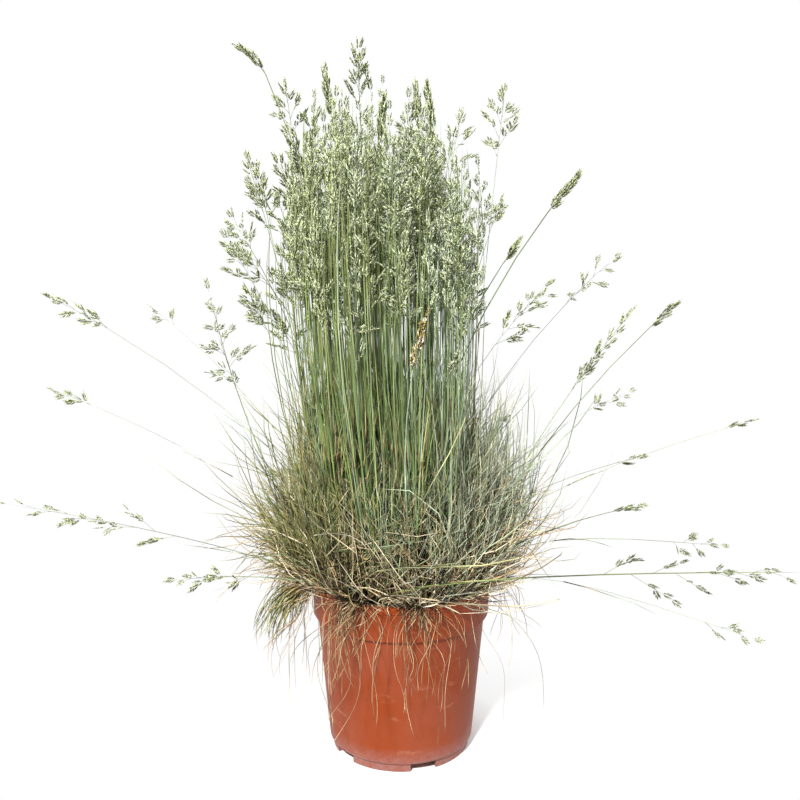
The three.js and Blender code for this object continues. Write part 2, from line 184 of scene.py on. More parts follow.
def add_strands(growth, rings, radii, sides, tint, kind, shares=None):
    """Tapering tubes, closed at the root and pointed at the tip.

    rings is (strands, rings, 3), radii is one value a ring, or one a strand and ring.
    """
    count, ring_count = rings.shape[:2]
    shares = np.linspace(0, 1, ring_count) if shares is None else shares
    forward = unit(np.gradient(rings, axis=1))
    chord = rings[:, -1] - rings[:, 0]
    level = unit(np.stack([-chord[:, 1], chord[:, 0], np.zeros(count)], axis=-1) + [1e-7, 0, 0])
    side = unit(level[:, None] - dot(level[:, None], forward) * forward)
    other = np.cross(forward, side)
    turn = TURN * np.arange(sides) / sides + rng.uniform(0, TURN, count)[:, None]
    round_side = np.cos(turn)[:, None, :, None] * side[:, :-1, None]
    round_other = np.sin(turn)[:, None, :, None] * other[:, :-1, None]
    radii = np.broadcast_to(radii, (count, ring_count))[:, :-1, None, None]
    walls = rings[:, :-1, None] + radii * (round_side + round_other)
    corners = np.concatenate([walls.reshape(count, -1, 3), rings[:, -1:]], axis=1)
    step = corners.shape[1]

    def add_to_each(faces, across, along):
        """Adds the same faces to every strand."""
        growth.add_faces(
            repeated(faces, count, step), np.tile(across, (count, 1)), np.tile(along, (count, 1)),
            np.repeat(tint, len(faces)), kind,
        )

    j = np.arange(sides)
    after = (j + 1) % sides
    if ring_count > 2:
        low_ring = sides * np.arange(ring_count - 2)[:, None]
        high_ring = low_ring + sides
        quads = np.stack([low_ring + j, low_ring + after, high_ring + after, high_ring + j], -1)
        across = np.tile(np.stack([j, j + 1, j + 1, j], -1) / sides, (ring_count - 2, 1))
        low, high = np.repeat(shares[:-2], sides), np.repeat(shares[1:-1], sides)
        add_to_each(quads.reshape(-1, 4), across, np.stack([low, low, high, high], -1))
    last = (ring_count - 2) * sides
    point = np.stack([last + j, last + after, np.full(sides, step - 1)], -1)
    point_across = np.stack([j, j + 1, j + 0.5], -1) / sides
    point_along = np.tile([shares[-2], shares[-2], shares[-1]], (sides, 1))
    cap = np.stack([np.zeros(sides - 2, int), np.arange(2, sides), np.arange(1, sides - 1)], -1)
    cap_across = np.tile([0.0, 1.0, 0.5], (sides - 2, 1))
    cap_along = np.tile([0.0, 0.0, 0.02], (sides - 2, 1))
    add_to_each(
        np.concatenate([point, cap]), np.concatenate([point_across, cap_across]),
        np.concatenate([point_along, cap_along]),
    )
    growth.add_corners(corners.reshape(-1, 3))


# Leaves


def pot_outer_radius(z):
    """The pot's outer radius at a height, with its lip's radius over the whole collar."""
    share = np.clip((z - WALL_BOTTOM) / (WALL_TOP - WALL_BOTTOM), 0, 1)
    wall = WALL_BOTTOM_RADIUS + (WALL_TOP_RADIUS - WALL_BOTTOM_RADIUS) * share
    return np.where(z > COLLAR_BOTTOM - 0.004, LIP_RADIUS, wall)


def clear_of_pot(previous, point):
    """Lays the next ring centres of blades over the lip, outside the wall or on the mix."""
    came = np.hypot(previous[:, 0], previous[:, 1])
    reach = np.maximum(np.hypot(point[:, 0], point[:, 1]), 1e-6)
    outer = pot_outer_radius(point[:, 2]) + BLADE_CLEARANCE
    low = point[:, 2] < POT_TOP + BLADE_CLEARANCE
    from_inside = came < MOUTH_RADIUS
    over_lip = low & from_inside & (reach > MOUTH_RADIUS - BLADE_CLEARANCE)
    in_wall = low & ~from_inside & (reach < outer)
    reach_now = np.where(over_lip, LIP_RADIUS + BLADE_CLEARANCE, np.where(in_wall, outer, reach))
    point[:, :2] *= (reach_now / reach)[:, None]
    point[:, 2] = np.where(over_lip, POT_TOP + 2 * BLADE_CLEARANCE, point[:, 2])
    on_mix = (reach_now < MOUTH_RADIUS) & (point[:, 2] < SOIL_TOP + BLADE_CLEARANCE)
    point[:, 2] = np.where(on_mix, SOIL_TOP + BLADE_CLEARANCE, point[:, 2])
    return point


def grow_blades(roots, azimuth, start, end, length, power, segments, sway):
    """Ring centres of blades that lean further off the vertical as they grow, with a slow sway sideways."""
    count = len(roots)
    phase = rng.uniform(0, TURN, count)
    turns = rng.uniform(0.4, 1.3, count)
    points = [roots]
    for i in range(segments):
        share = (i + 0.5) / segments
        lean = start + (end - start) * share**power
        lean = lean + 0.5 * sway * np.cos(phase + TURN * turns * share)
        bearing = azimuth + sway * np.sin(phase + TURN * turns * share)
        step = leaning(bearing, lean) * (length / segments)[:, None]
        points.append(clear_of_pot(points[-1], points[-1] + step))
    rings = np.stack(points, axis=1)
    rings[..., 2] = np.maximum(rings[..., 2], LOWEST_BLADE)
    return rings


def crown_roots(centre, reach, azimuth, low, high):
    """Points inside a crown, nearer the side that each blade leaves by."""
    count = len(azimuth)
    out = heading(azimuth) * (reach * rng.uniform(0.1, 0.9, count))[:, None]
    loose = rng.normal(0, 0.18 * reach, (count, 3))
    roots = centre + out + loose
    roots[:, 2] = rng.uniform(low, high, count)
    return roots


def tapering(root_radius, tip_radius, rings, power=1.0):
    return root_radius + (tip_radius - root_radius) * np.linspace(0, 1, rings) ** power


LOWEST_BLADE = 0.012
BLADE_SIDES = 3
LEAF_SEGMENTS = 6
LEAF_RADIUS = 0.00076
LEAF_TIP_RADIUS = 0.00028
DRIED_LEAF_TINTS = (0.15, 0.75)
# By ring: how much leaves sway, and how widely they are turned round their tuft
LEAF_SWAYS = (0.4, 0.5, 0.66)
LEAF_SPREADS = (math.pi, 1.6, 1.3)
# Leaves by ring, from the middle tuft outwards: how many, their mean lean off the vertical and how much it
# varies, the most that they bend over, their shortest and longest
MOUND_LEAVES = (
    (120, 0.08, 0.14, 0.6, 0.12, 0.21),
    (140, 0.22, 0.24, 0.8, 0.12, 0.23),
    (310, 0.36, 0.30, 0.8, 0.13, 0.25),
)
TALL_LEAVES = (
    (30, 0.02, 0.05, 0.2, 0.18, 0.28),
    (30, 0.04, 0.06, 0.2, 0.17, 0.28),
    (52, 0.12, 0.10, 0.3, 0.15, 0.29),
)
# How far from the pot's axis leaves reach, how that changes at the left, the right and the front, and the
# share of stray ones and how much further they reach
MOUND_REACH = 0.135
LEFT_REACH = 0.040
RIGHT_REACH = 0.008
FRONT_REACH = -0.035
STRAY_SHARE = 0.14
STRAY_REACH = 0.105
# How much further leaves droop at the left, in radians, and how much less they lean at the front, as a share
LEFT_DROOP = 0.58
FRONT_UPRIGHT = 0.6
# How much fewer and shorter the front's leaves are, as shares
FRONT_THINNING = 0.84
FRONT_SHORTENING = 0.42
# How much more numerous leaves are at the sides, and how much further they lean at the right, in radians
SIDE_THICKENING = 1.2
RIGHT_LEAN = 0.52
# How much less leaves have to lean at the right to be dry, and how much more widely they are turned there
RIGHT_DRYNESS = 0.6
RIGHT_TANGLE = 0.9


def leftness(x):
    """0 at the plant's right, blue-grey and stiff, to 1 at its left, olive and drooping."""
    return np.clip(0.5 - x / 0.14, 0, 1)


def frontness(centre):
    """0 at the back and the sides of the clump, to 1 at the middle of its front."""
    forward = np.clip((0.02 - centre[1]) / 0.06, 0, 1)
    middle = np.clip(1.15 - abs(centre[0] + 0.012) / 0.06, 0, 1)
    return float(forward * middle)


def mound_limit(azimuth, lean):
    """How far each blade may reach: low ones further at the left, and stray ones well past the others."""
    count = len(azimuth)
    low = np.clip((lean - 0.55) / 0.35, 0, 1)
    limit = MOUND_REACH + LEFT_REACH * low * np.clip(-np.cos(azimuth), 0, 1)
    limit += RIGHT_REACH * np.clip(np.cos(azimuth), 0, 1) + FRONT_REACH * np.clip(-np.sin(azimuth), 0, 1)
    sideways = 0.4 + 0.6 * np.abs(np.cos(azimuth))
    stray = (rng.random(count) < STRAY_SHARE * sideways) * STRAY_REACH * rng.uniform(0.3, 1, count)
    return limit * rng.uniform(0.84, 1.04, count) + stray


def within_reach(roots, azimuth, start, end, length):
    """Blade lengths, cut back so that the tips end inside the mound."""
    lean = start + (end - start) * 0.4
    run = np.sin(lean)[:, None] * heading(azimuth)[:, :2]
    a = dot(run, run)[:, 0] + 1e-9
    b = dot(roots[:, :2], run)[:, 0]
    c = dot(roots[:, :2], roots[:, :2])[:, 0] - mound_limit(azimuth, lean) ** 2
    most = (-b + np.sqrt(np.maximum(b * b - a * c, 0))) / a
    return np.minimum(length, most)


def add_leaves(growth, centre, ring, habit):
    """The needle leaves of a tuft; the ones that bend over furthest have dried."""
    count, mean, deviation, bend, shortest, longest = habit[ring]
    front = frontness(centre)
    outer = ring == len(TUFT_RINGS) - 1
    thickening = 1 + SIDE_THICKENING * abs(centre[0]) / OUTER_RING_RADIUS
    count = round(count * (1 - FRONT_THINNING * front) * thickening)
    longest *= 1 - FRONT_SHORTENING * front
    tangle = RIGHT_TANGLE * outer * (1 - leftness(centre[0]))
    azimuth = math.atan2(centre[1], centre[0]) + rng.normal(0, LEAF_SPREADS[ring] + tangle, count)
    start = np.clip(np.abs(rng.normal(mean, deviation, count)) * (1 - FRONT_UPRIGHT * front), 0.02, 1.3)
    left = leftness(centre[0] + 0.03 * np.cos(azimuth))
    off_front = 1 - np.clip(-centre[1] / OUTER_RING_RADIUS, 0, 1)
    start += LEFT_DROOP * left * outer * off_front * rng.random(count)
    start += RIGHT_LEAN * (1 - left) * outer * rng.random(count)
    end = start + rng.uniform(-0.15, bend, count)
    end += LEFT_DROOP * left * bend * off_front * rng.random(count) ** 2
    roots = crown_roots(centre, CROWN_RADIUS, azimuth, SOIL_TOP - 0.006, SOIL_TOP + 0.008)
    length = within_reach(roots, azimuth, start, end, rng.uniform(shortest, longest, count))
    sway = LEAF_SWAYS[ring] + 0.3 * tangle
    rings = grow_blades(roots, azimuth, start, end, length, 1.25, LEAF_SEGMENTS, sway)
    radii = tapering(LEAF_RADIUS, LEAF_TIP_RADIUS, LEAF_SEGMENTS + 1, 1.8)
    radii = radii * rng.uniform(0.6, 1.15, (count, 1))
    tint = np.clip(0.85 - left * (0.35 + 0.25 * ring) + rng.normal(0, 0.28, count), 0, 1)
    dead = start + end > rng.uniform(1.6, 3.0, count) - RIGHT_DRYNESS * (1 - left)
    if dead.any():
        dry_tint = rng.uniform(*DRIED_LEAF_TINTS, dead.sum())
        add_strands(growth, rings[dead], radii[dead], BLADE_SIDES, dry_tint, "straw")
    add_strands(growth, rings[~dead], radii[~dead], BLADE_SIDES, tint[~dead], "leaf")


# Dead straw

STRAW_RADIUS = 0.00064
STRAW_TIP_RADIUS = 0.00026
THATCH_SWAY = 0.7
THATCH_LENGTHS = (0.04, 0.18)
THATCH_FRONT_SHORTENING = 0.05
DRY_TINTS = (0.15, 0.92)
# Near-black straw tints: rotted blades that also stand in as painted shade in the gaps of the clump
ROT_AND_SHADE_TINTS = (0, 0.03)
# By ring: blades of thatch in a tuft, and the height of its tallest stubs
TUFT_STRAW_COUNTS = (20, 60, 95)
STUB_HEIGHTS = (0.2, 0.18, 0.07)
STUB_COUNT = 80
STUB_SHORTEST = 0.02
STUB_SEGMENTS = 3
STUB_RADIUS = 0.0011
STUB_TIP_RADIUS = 0.0004
# Blades in each bunch, in turn from the right round by the back to the left and the front
THATCH_COUNTS = (240, 110, 85, 95, 140, 220, 190, 290, 300)
DRAPE_COUNTS = (20, 36, 44, 44, 36, 64, 110, 64, 10)
# The shares of the blades that are near black, in the tufts and in each bunch: rotted blades that are also
# painted shade, where gaps in the straw would show the shaded inside
TUFT_ROT_AND_SHADE_SHARE = 0.5
ROT_AND_SHADE_SHARES = (0.4, 0.4, 0.4, 0.4, 0.4, 0.45, 0.65, 0.5, 0.5)
SKIRT_COUNTS = (0, 0, 0, 0, 60, 90, 0, 0, 0)
DRAPE_SEGMENTS = 14
DRAPE_RADIUS = 0.0004
DRAPE_SWAY = 0.9
DRAPE_SHORTEST = 0.03
DRAPE_LONGER = 0.125
DRAPE_TINTS = (0.06, 0.5)
SKIRT_LENGTHS = (0.04, 0.095)
SKIRT_SWAY = 0.3
SKIRT_TINTS = (0, 0.3)
# How far below and above the top of the mix dry blades start
STRAW_ROOTS = (SOIL_TOP - 0.004, SOIL_TOP + 0.006)


def add_thatch(growth, centre, reach, count, rot_and_shade):
    """Dry blades that stand and lean every way, low among the green ones."""
    azimuth = rng.uniform(0, TURN, count)
    start = rng.uniform(-0.2, 1.1, count)
    end = start + rng.uniform(-0.6, 1.1, count)
    roots = crown_roots(centre, reach, azimuth, *STRAW_ROOTS)
    shortest, longest = THATCH_LENGTHS
    drawn = rng.uniform(shortest, longest - THATCH_FRONT_SHORTENING * frontness(centre), count)
    length = within_reach(roots, azimuth, start, end, drawn)
    rings = grow_blades(roots, azimuth, start, end, length, 1.0, LEAF_SEGMENTS, THATCH_SWAY)
    radii = tapering(STRAW_RADIUS, STRAW_TIP_RADIUS, LEAF_SEGMENTS + 1) * rng.uniform(0.7, 1.25, (count, 1))
    # A share of the blades are near black: rotted ones that are also painted shade among the straw
    tint = np.where(
        rng.random(count) < rot_and_shade, rng.uniform(*ROT_AND_SHADE_TINTS, count), rng.uniform(*DRY_TINTS, count)
    )
    add_strands(growth, rings, radii, BLADE_SIDES, tint, "straw")


def add_stubs(growth, centre, tallest):
    """Brown sheaths and rotted blades, near black, that make a tuft's foot dark: partly rot, partly painted
    shade.
    """
    azimuth = rng.uniform(0, TURN, STUB_COUNT)
    start = rng.uniform(0, 0.3, STUB_COUNT)
    roots = crown_roots(centre, 1.5 * CROWN_RADIUS, azimuth, SOIL_TOP - 0.004, SOIL_TOP + 0.002)
    height = rng.uniform(STUB_SHORTEST, tallest, STUB_COUNT)
    rings = grow_blades(roots, azimuth, start, start + 0.3, height, 1.0, STUB_SEGMENTS, 0.3)
    radii = tapering(STUB_RADIUS, STUB_TIP_RADIUS, STUB_SEGMENTS + 1)
    add_strands(growth, rings, radii, BLADE_SIDES, rng.uniform(*ROT_AND_SHADE_TINTS, STUB_COUNT), "straw")


def add_drapes(growth, centre, angle, count):
    """Long dry blades hung over the rim, most of them short of the collar's foot."""
    azimuth = angle + rng.normal(0, 0.45, count)
    start = rng.uniform(-0.2, 1.1, count)
    end = rng.uniform(2.7, 3.2, count)
    length = DRAPE_SHORTEST + DRAPE_LONGER * rng.random(count) ** 3.2
    roots = crown_roots(centre, BUNCH_RADIUS, azimuth, *STRAW_ROOTS)
    turning = 0.36 * np.minimum(1, 0.06 / length)
    rings = grow_blades(roots, azimuth, start, end, length, turning, DRAPE_SEGMENTS, DRAPE_SWAY)
    radii = tapering(DRAPE_RADIUS, STRAW_TIP_RADIUS, DRAPE_SEGMENTS + 1) * rng.uniform(0.6, 1.15, (count, 1))
    add_strands(growth, rings, radii, BLADE_SIDES, rng.uniform(*DRAPE_TINTS, count), "straw")


def add_skirt(growth, centre, angle, count):
    """Green blades that bend over the rim in a close clump."""
    azimuth = angle + rng.normal(0, 0.22, count)
    start = rng.uniform(0.7, 1.4, count)
    roots = crown_roots(centre, BUNCH_RADIUS, azimuth, SOIL_TOP, SOIL_TOP + 0.012)
    length = rng.uniform(*SKIRT_LENGTHS, count)
    end = rng.uniform(2.7, 3.3, count)
    rings = grow_blades(roots, azimuth, start, end, length, 0.6, DRAPE_SEGMENTS, SKIRT_SWAY)
    radii = tapering(STRAW_RADIUS, STRAW_TIP_RADIUS, DRAPE_SEGMENTS + 1)
    add_strands(growth, rings, radii, BLADE_SIDES, rng.uniform(*SKIRT_TINTS, count), "leaf")


# Flowering culms and their panicles

CULM_SIDES = 5
CULM_RADIUS = 0.0006
CULM_TOP_RADIUS = 0.00042
RACHIS_TIP_RADIUS = 0.0002
# Where the rings of a stem lie, as shares of its way to the panicle; a joint has three close together
JOINT_SHARES = (0.22, 0.5)
STEM_SHARES = np.array([0, 0.1, 0.21, 0.22, 0.23, 0.35, 0.49, 0.5, 0.51, 0.66, 0.83, 1.0])
RACHIS_SHARES = np.array([0.25, 0.5, 0.75, 1.0])
JOINT_SWELL = 1.4
FLAG_LEAF_SEGMENTS = 4
FLAG_LEAF_RADIUS = 0.0006
FLAG_LEAF_TIP_RADIUS = 0.0002
FLAG_LEAF_LENGTHS = (0.04, 0.1)

PANICLE_NODES = 9
NODE_SPACING = 0.011
SINGLE_CULM_SHADE = 0.3
BRANCH_RADII = np.array([0.00026, 0.0002, 0.00016, 0.0001])
STALK_RADII = np.array([0.00018, 0.0001])
STALK_LENGTHS = (0.0012, 0.0026)
FLORET_COUNT = 5
SPIKELET_LENGTH = 0.0112
# Of a spikelet's length: a floret's half width, and how far up it is widest
FLORET_HALF_WIDTH = 0.08
FLORET_WIDEST = 0.42


def add_spikelets(growth, feet, directions, lengths, spread, tint, kind):
    """Spikelets: two glumes and five florets, each a flat double point, left and right of the axis."""
    count = len(feet)
    starts = np.array([0.0, 0.03, *(0.07 + 0.105 * np.arange(FLORET_COUNT))])
    sizes = np.array([0.38, 0.46, *np.full(FLORET_COUNT, 0.56)])
    leans = np.radians([26, 26, *np.linspace(28, 12, FLORET_COUNT)])
    signs = np.array([1, -1, *(1 - 2 * (np.arange(FLORET_COUNT) % 2))])
    axis = unit(directions)
    side = unit(np.cross(axis, unit(rng.normal(0, 1, (count, 3)))))
    size = lengths[:, None, None]
    lean = (leans * spread[:, None])[..., None]
    across = side[:, None] * signs[:, None]
    base = feet[:, None] + axis[:, None] * starts[:, None] * size + across * 0.03 * size
    direction = axis[:, None] * np.cos(lean) + across * np.sin(lean)
    reach = sizes[:, None] * size
    tip = base + direction * reach
    middle = base + direction * reach * FLORET_WIDEST
    flat = unit(np.cross(direction, np.cross(axis, side)[:, None]))
    thick = np.cross(direction, flat)
    half_width = FLORET_HALF_WIDTH * size
    turn = TURN * np.arange(3) / 3
    ring = middle[:, :, None] + half_width[..., None] * (
        np.cos(turn)[:, None] * flat[:, :, None] + 0.8 * np.sin(turn)[:, None] * thick[:, :, None]
    )
    corners = np.concatenate([base[:, :, None], ring, tip[:, :, None]], axis=2).reshape(-1, 3)
    j = np.arange(3)
    after = (j + 1) % 3
    faces = np.concatenate([
        np.stack([np.zeros(3, int), 1 + after, 1 + j], -1),
        np.stack([1 + j, 1 + after, np.full(3, 4)], -1),
    ])
    across_map = np.concatenate([np.stack([j + 0.5, j + 1, j], -1), np.stack([j, j + 1, j + 0.5], -1)]) / 3
    low_along, high_along = [0, FLORET_WIDEST, FLORET_WIDEST], [FLORET_WIDEST, FLORET_WIDEST, 1]
    along_map = np.concatenate([np.tile(low_along, (3, 1)), np.tile(high_along, (3, 1))])
    total = count * len(starts)
    tints = np.clip(np.repeat(tint, len(starts)) + rng.normal(0, 0.13, total), 0, 1)
    growth.add_faces(
        repeated(faces, total, 5), np.tile(across_map, (total, 1)), np.tile(along_map, (total, 1)),
        np.repeat(tints, len(faces)), kind,
    )
    growth.add_corners(corners)


def add_panicles(growth, control, base, size, openness, tint, nodes, head, shade):
    """The panicles of a batch of culms: branches on the rachis, and stalked spikelets along each branch."""
    count = len(control)
    stalk = "straw" if head == "straw" else "culm"
    spin = rng.uniform(0, TURN, count)
    feet, directions, tints, spreads = [], [], [], []

    def bear(places, ways, share):
        """A spikelet on a short stalk at each place."""
        foot = places + unit(ways) * rng.uniform(*STALK_LENGTHS, len(places))[:, None]
        add_strands(growth, np.stack([places, foot], axis=1), STALK_RADII, BLADE_SIDES, tint, stalk)
        feet.append(foot)
        directions.append(ways)
        tints.append(tint if head == "straw" else 0.34 + 0.4 * tint + 0.2 * (share - 0.5) - shade)
        spreads.append(0.65 + 0.6 * openness)

    for node in range(nodes):
        share = 0.02 + 0.9 * (node / nodes) ** 0.9
        at = base + (1 - base) * share
        foot, ahead = (bezier(control, (at + step)[:, None])[:, 0] for step in (0, 0.004))
        tangent = unit(ahead - foot)
        level = unit(np.cross(tangent, [0.3, 1.0, 0.1]))
        other = np.cross(tangent, level)
        angle = spin + node * (math.pi + 0.5) + rng.normal(0, 0.35, count)
        out = np.cos(angle)[:, None] * level + np.sin(angle)[:, None] * other
        reach = size * (0.27 * (1 - share) ** 1.1 * (0.3 + 0.7 * openness) + 0.05)
        reach = reach * rng.uniform(0.7, 1.25, count)
        lean = np.radians(9 + 40 * openness * (1 - share) ** 0.7 * rng.uniform(0.6, 1.3, count))[:, None]
        way = tangent * np.cos(lean) + out * np.sin(lean)
        bend = tangent * (0.3 - 0.35 * openness[:, None]) - UP * 0.12 * openness[:, None]
        shares = np.linspace(0, 1, 4)[:, None]
        branch = foot[:, None] + reach[:, None, None] * (way[:, None] * shares + bend[:, None] * shares**2)
        add_strands(growth, branch, BRANCH_RADII, BLADE_SIDES, tint, stalk)
        number = 1 + round(0.45 * nodes * (1 - share) ** 1.2)
        lateral = unit(np.cross(way, tangent) + 1e-6)
        for k in range(number):
            along = 1 - 0.78 * k / number
            place = foot + reach[:, None] * (way * along + bend * along**2)
            side = 0 if k == 0 else (1 if k % 2 else -1)
            slant = side * rng.uniform(0.2, 0.8, count)[:, None] * (0.5 + openness[:, None])
            loose = rng.normal(0, 0.25, (count, 3)) * openness[:, None]
            bear(place, unit(way + 2 * bend * along + lateral * slant + loose), share)
    tip = control[:, 3]
    bear(tip, unit(tip - bezier(control, np.full((count, 1), 0.985))[:, 0]), 1)
    total = len(feet) * count
    lengths = SPIKELET_LENGTH * rng.uniform(0.8, 1.15, total)
    add_spikelets(
        growth, np.concatenate(feet), np.concatenate(directions), lengths,
        np.concatenate(spreads), np.clip(np.concatenate(tints), 0, 1), head,
    )


def add_flag_leaves(growth, control, base, joint, tint):
    """The leaf at a joint of each stem: it hugs the stem and then stands off it."""
    count = len(control)
    at = (base * joint)[:, None]
    foot = bezier(control, at)[:, 0]
    tangent = unit(bezier(control, at + 0.01)[:, 0] - foot)
    azimuth = rng.uniform(0, TURN, count)
    lean = np.arccos(np.clip(tangent[:, 2], -1, 1))
    own = np.arctan2(tangent[:, 1], tangent[:, 0])
    bearing = np.where(lean > 0.5, own, azimuth)
    start = np.where(lean > 0.5, lean, 0.08)
    length = rng.uniform(*FLAG_LEAF_LENGTHS, count)
    end = start + rng.uniform(0.1, 0.5, count)
    rings = grow_blades(foot, bearing, start, end, length, 1.2, FLAG_LEAF_SEGMENTS, 0.1)
    radii = tapering(FLAG_LEAF_RADIUS, FLAG_LEAF_TIP_RADIUS, FLAG_LEAF_SEGMENTS + 1)
    add_strands(growth, rings, radii, BLADE_SIDES, tint, "leaf")


def add_culms(
    growth, control, panicle, openness, tint, thickness=1.0, nodes=PANICLE_NODES, stem="culm", head="floret",
    shade=0.0,
):
    """Stems with their joints, flag leaves and panicles. panicle is each panicle's length."""
    steps = bezier(control, np.tile(np.linspace(0, 1, 17), (len(control), 1)))
    length = np.linalg.norm(np.diff(steps, axis=1), axis=2).sum(1)
    base = 1 - panicle / length
    stalk = base[:, None] * STEM_SHARES
    rachis = base[:, None] + (1 - base[:, None]) * RACHIS_SHARES
    rings = bezier(control, np.concatenate([stalk, rachis], axis=1))
    stem_radii = CULM_RADIUS + (CULM_TOP_RADIUS - CULM_RADIUS) * STEM_SHARES
    stem_radii[np.isin(STEM_SHARES, JOINT_SHARES)] *= JOINT_SWELL
    rachis_radii = CULM_TOP_RADIUS + (RACHIS_TIP_RADIUS - CULM_TOP_RADIUS) * RACHIS_SHARES
    radii = np.concatenate([stem_radii, rachis_radii])
    radii = radii * thickness * rng.uniform(0.85, 1.2, (len(control), 1))
    shares = np.concatenate([0.8 * STEM_SHARES, 0.8 + 0.2 * RACHIS_SHARES])
    add_strands(growth, rings, radii, CULM_SIDES, np.minimum(tint, 0.9), stem, shares)
    for joint in JOINT_SHARES:
        add_flag_leaves(growth, control, base, joint, tint)
    if nodes:
        add_panicles(growth, control, base, panicle, openness, tint, nodes, head, shade)


# Culms with a panicle by ring, and ones without: in every tuft, and more of them at the front
CULM_COUNTS = (10, 10, 9)
BARE_COUNT = 7
FRONT_BARE_COUNT = 26
CULM_ROOT = SOIL_TOP + 0.006
# How the stand's tips lie: shifted to the left, spread out from their tufts, and lower at its edge and right
STAND_SHIFT = -0.018
STAND_SPREAD = (1.2, 1.4, 0)
STAND_SCATTER = 0.0145
STAND_HEIGHT = (0.540, 0.650)
STAND_EDGE_DROP = 0.02
RIGHT_DROP = 0.022
PANICLE_LENGTH = (0.07, 0.115)


def add_upright_culms(growth, centre, ring):
    """The stand: culms that lean out low down and then rise nearly straight, shorter at its edge.

    Some have lost their panicles, most of them in the front's tufts.
    """
    count = CULM_COUNTS[ring] + BARE_COUNT + round(FRONT_BARE_COUNT * frontness(centre))
    azimuth = rng.uniform(0, TURN, count)
    root = centre + heading(azimuth) * (CROWN_RADIUS * rng.uniform(0.1, 0.9, count))[:, None]
    root[:, 2] = CULM_ROOT
    tip = centre * np.array(STAND_SPREAD) + rng.normal(0, STAND_SCATTER, (count, 3))
    low, high = STAND_HEIGHT
    tip[:, 2] = low + (high - low) * rng.random(count) ** 1.6
    tip[:, 2] -= STAND_EDGE_DROP * (np.hypot(tip[:, 0], tip[:, 1]) / 0.08) ** 2
    tip[:, 0] += STAND_SHIFT
    tip[:, 2] -= RIGHT_DROP * np.clip(tip[:, 0] / 0.04, 0, 1)
    way = tip - root
    rise = UP * way[:, 2:]
    lift = root + 0.3 * rise + 0.6 * (way - rise) + rng.normal(0, 0.005, (count, 3))
    reach = root + 0.66 * rise + 1.15 * (way - rise) + rng.normal(0, 0.011, (count, 3))
    control = np.stack([root, lift, reach, tip], axis=1)
    openness = rng.uniform(0.1, 1.0, count)
    tint = np.clip(0.5 + tip[:, 0] / 0.3 + rng.normal(0, 0.26, count), 0.1, 1)
    bare = np.arange(count) >= CULM_COUNTS[ring]
    panicle = rng.uniform(*PANICLE_LENGTH, count)
    add_culms(growth, control[~bare], panicle[~bare], openness[~bare], tint[~bare])
    add_culms(growth, control[bare], panicle[bare], openness[bare], tint[bare], nodes=0)


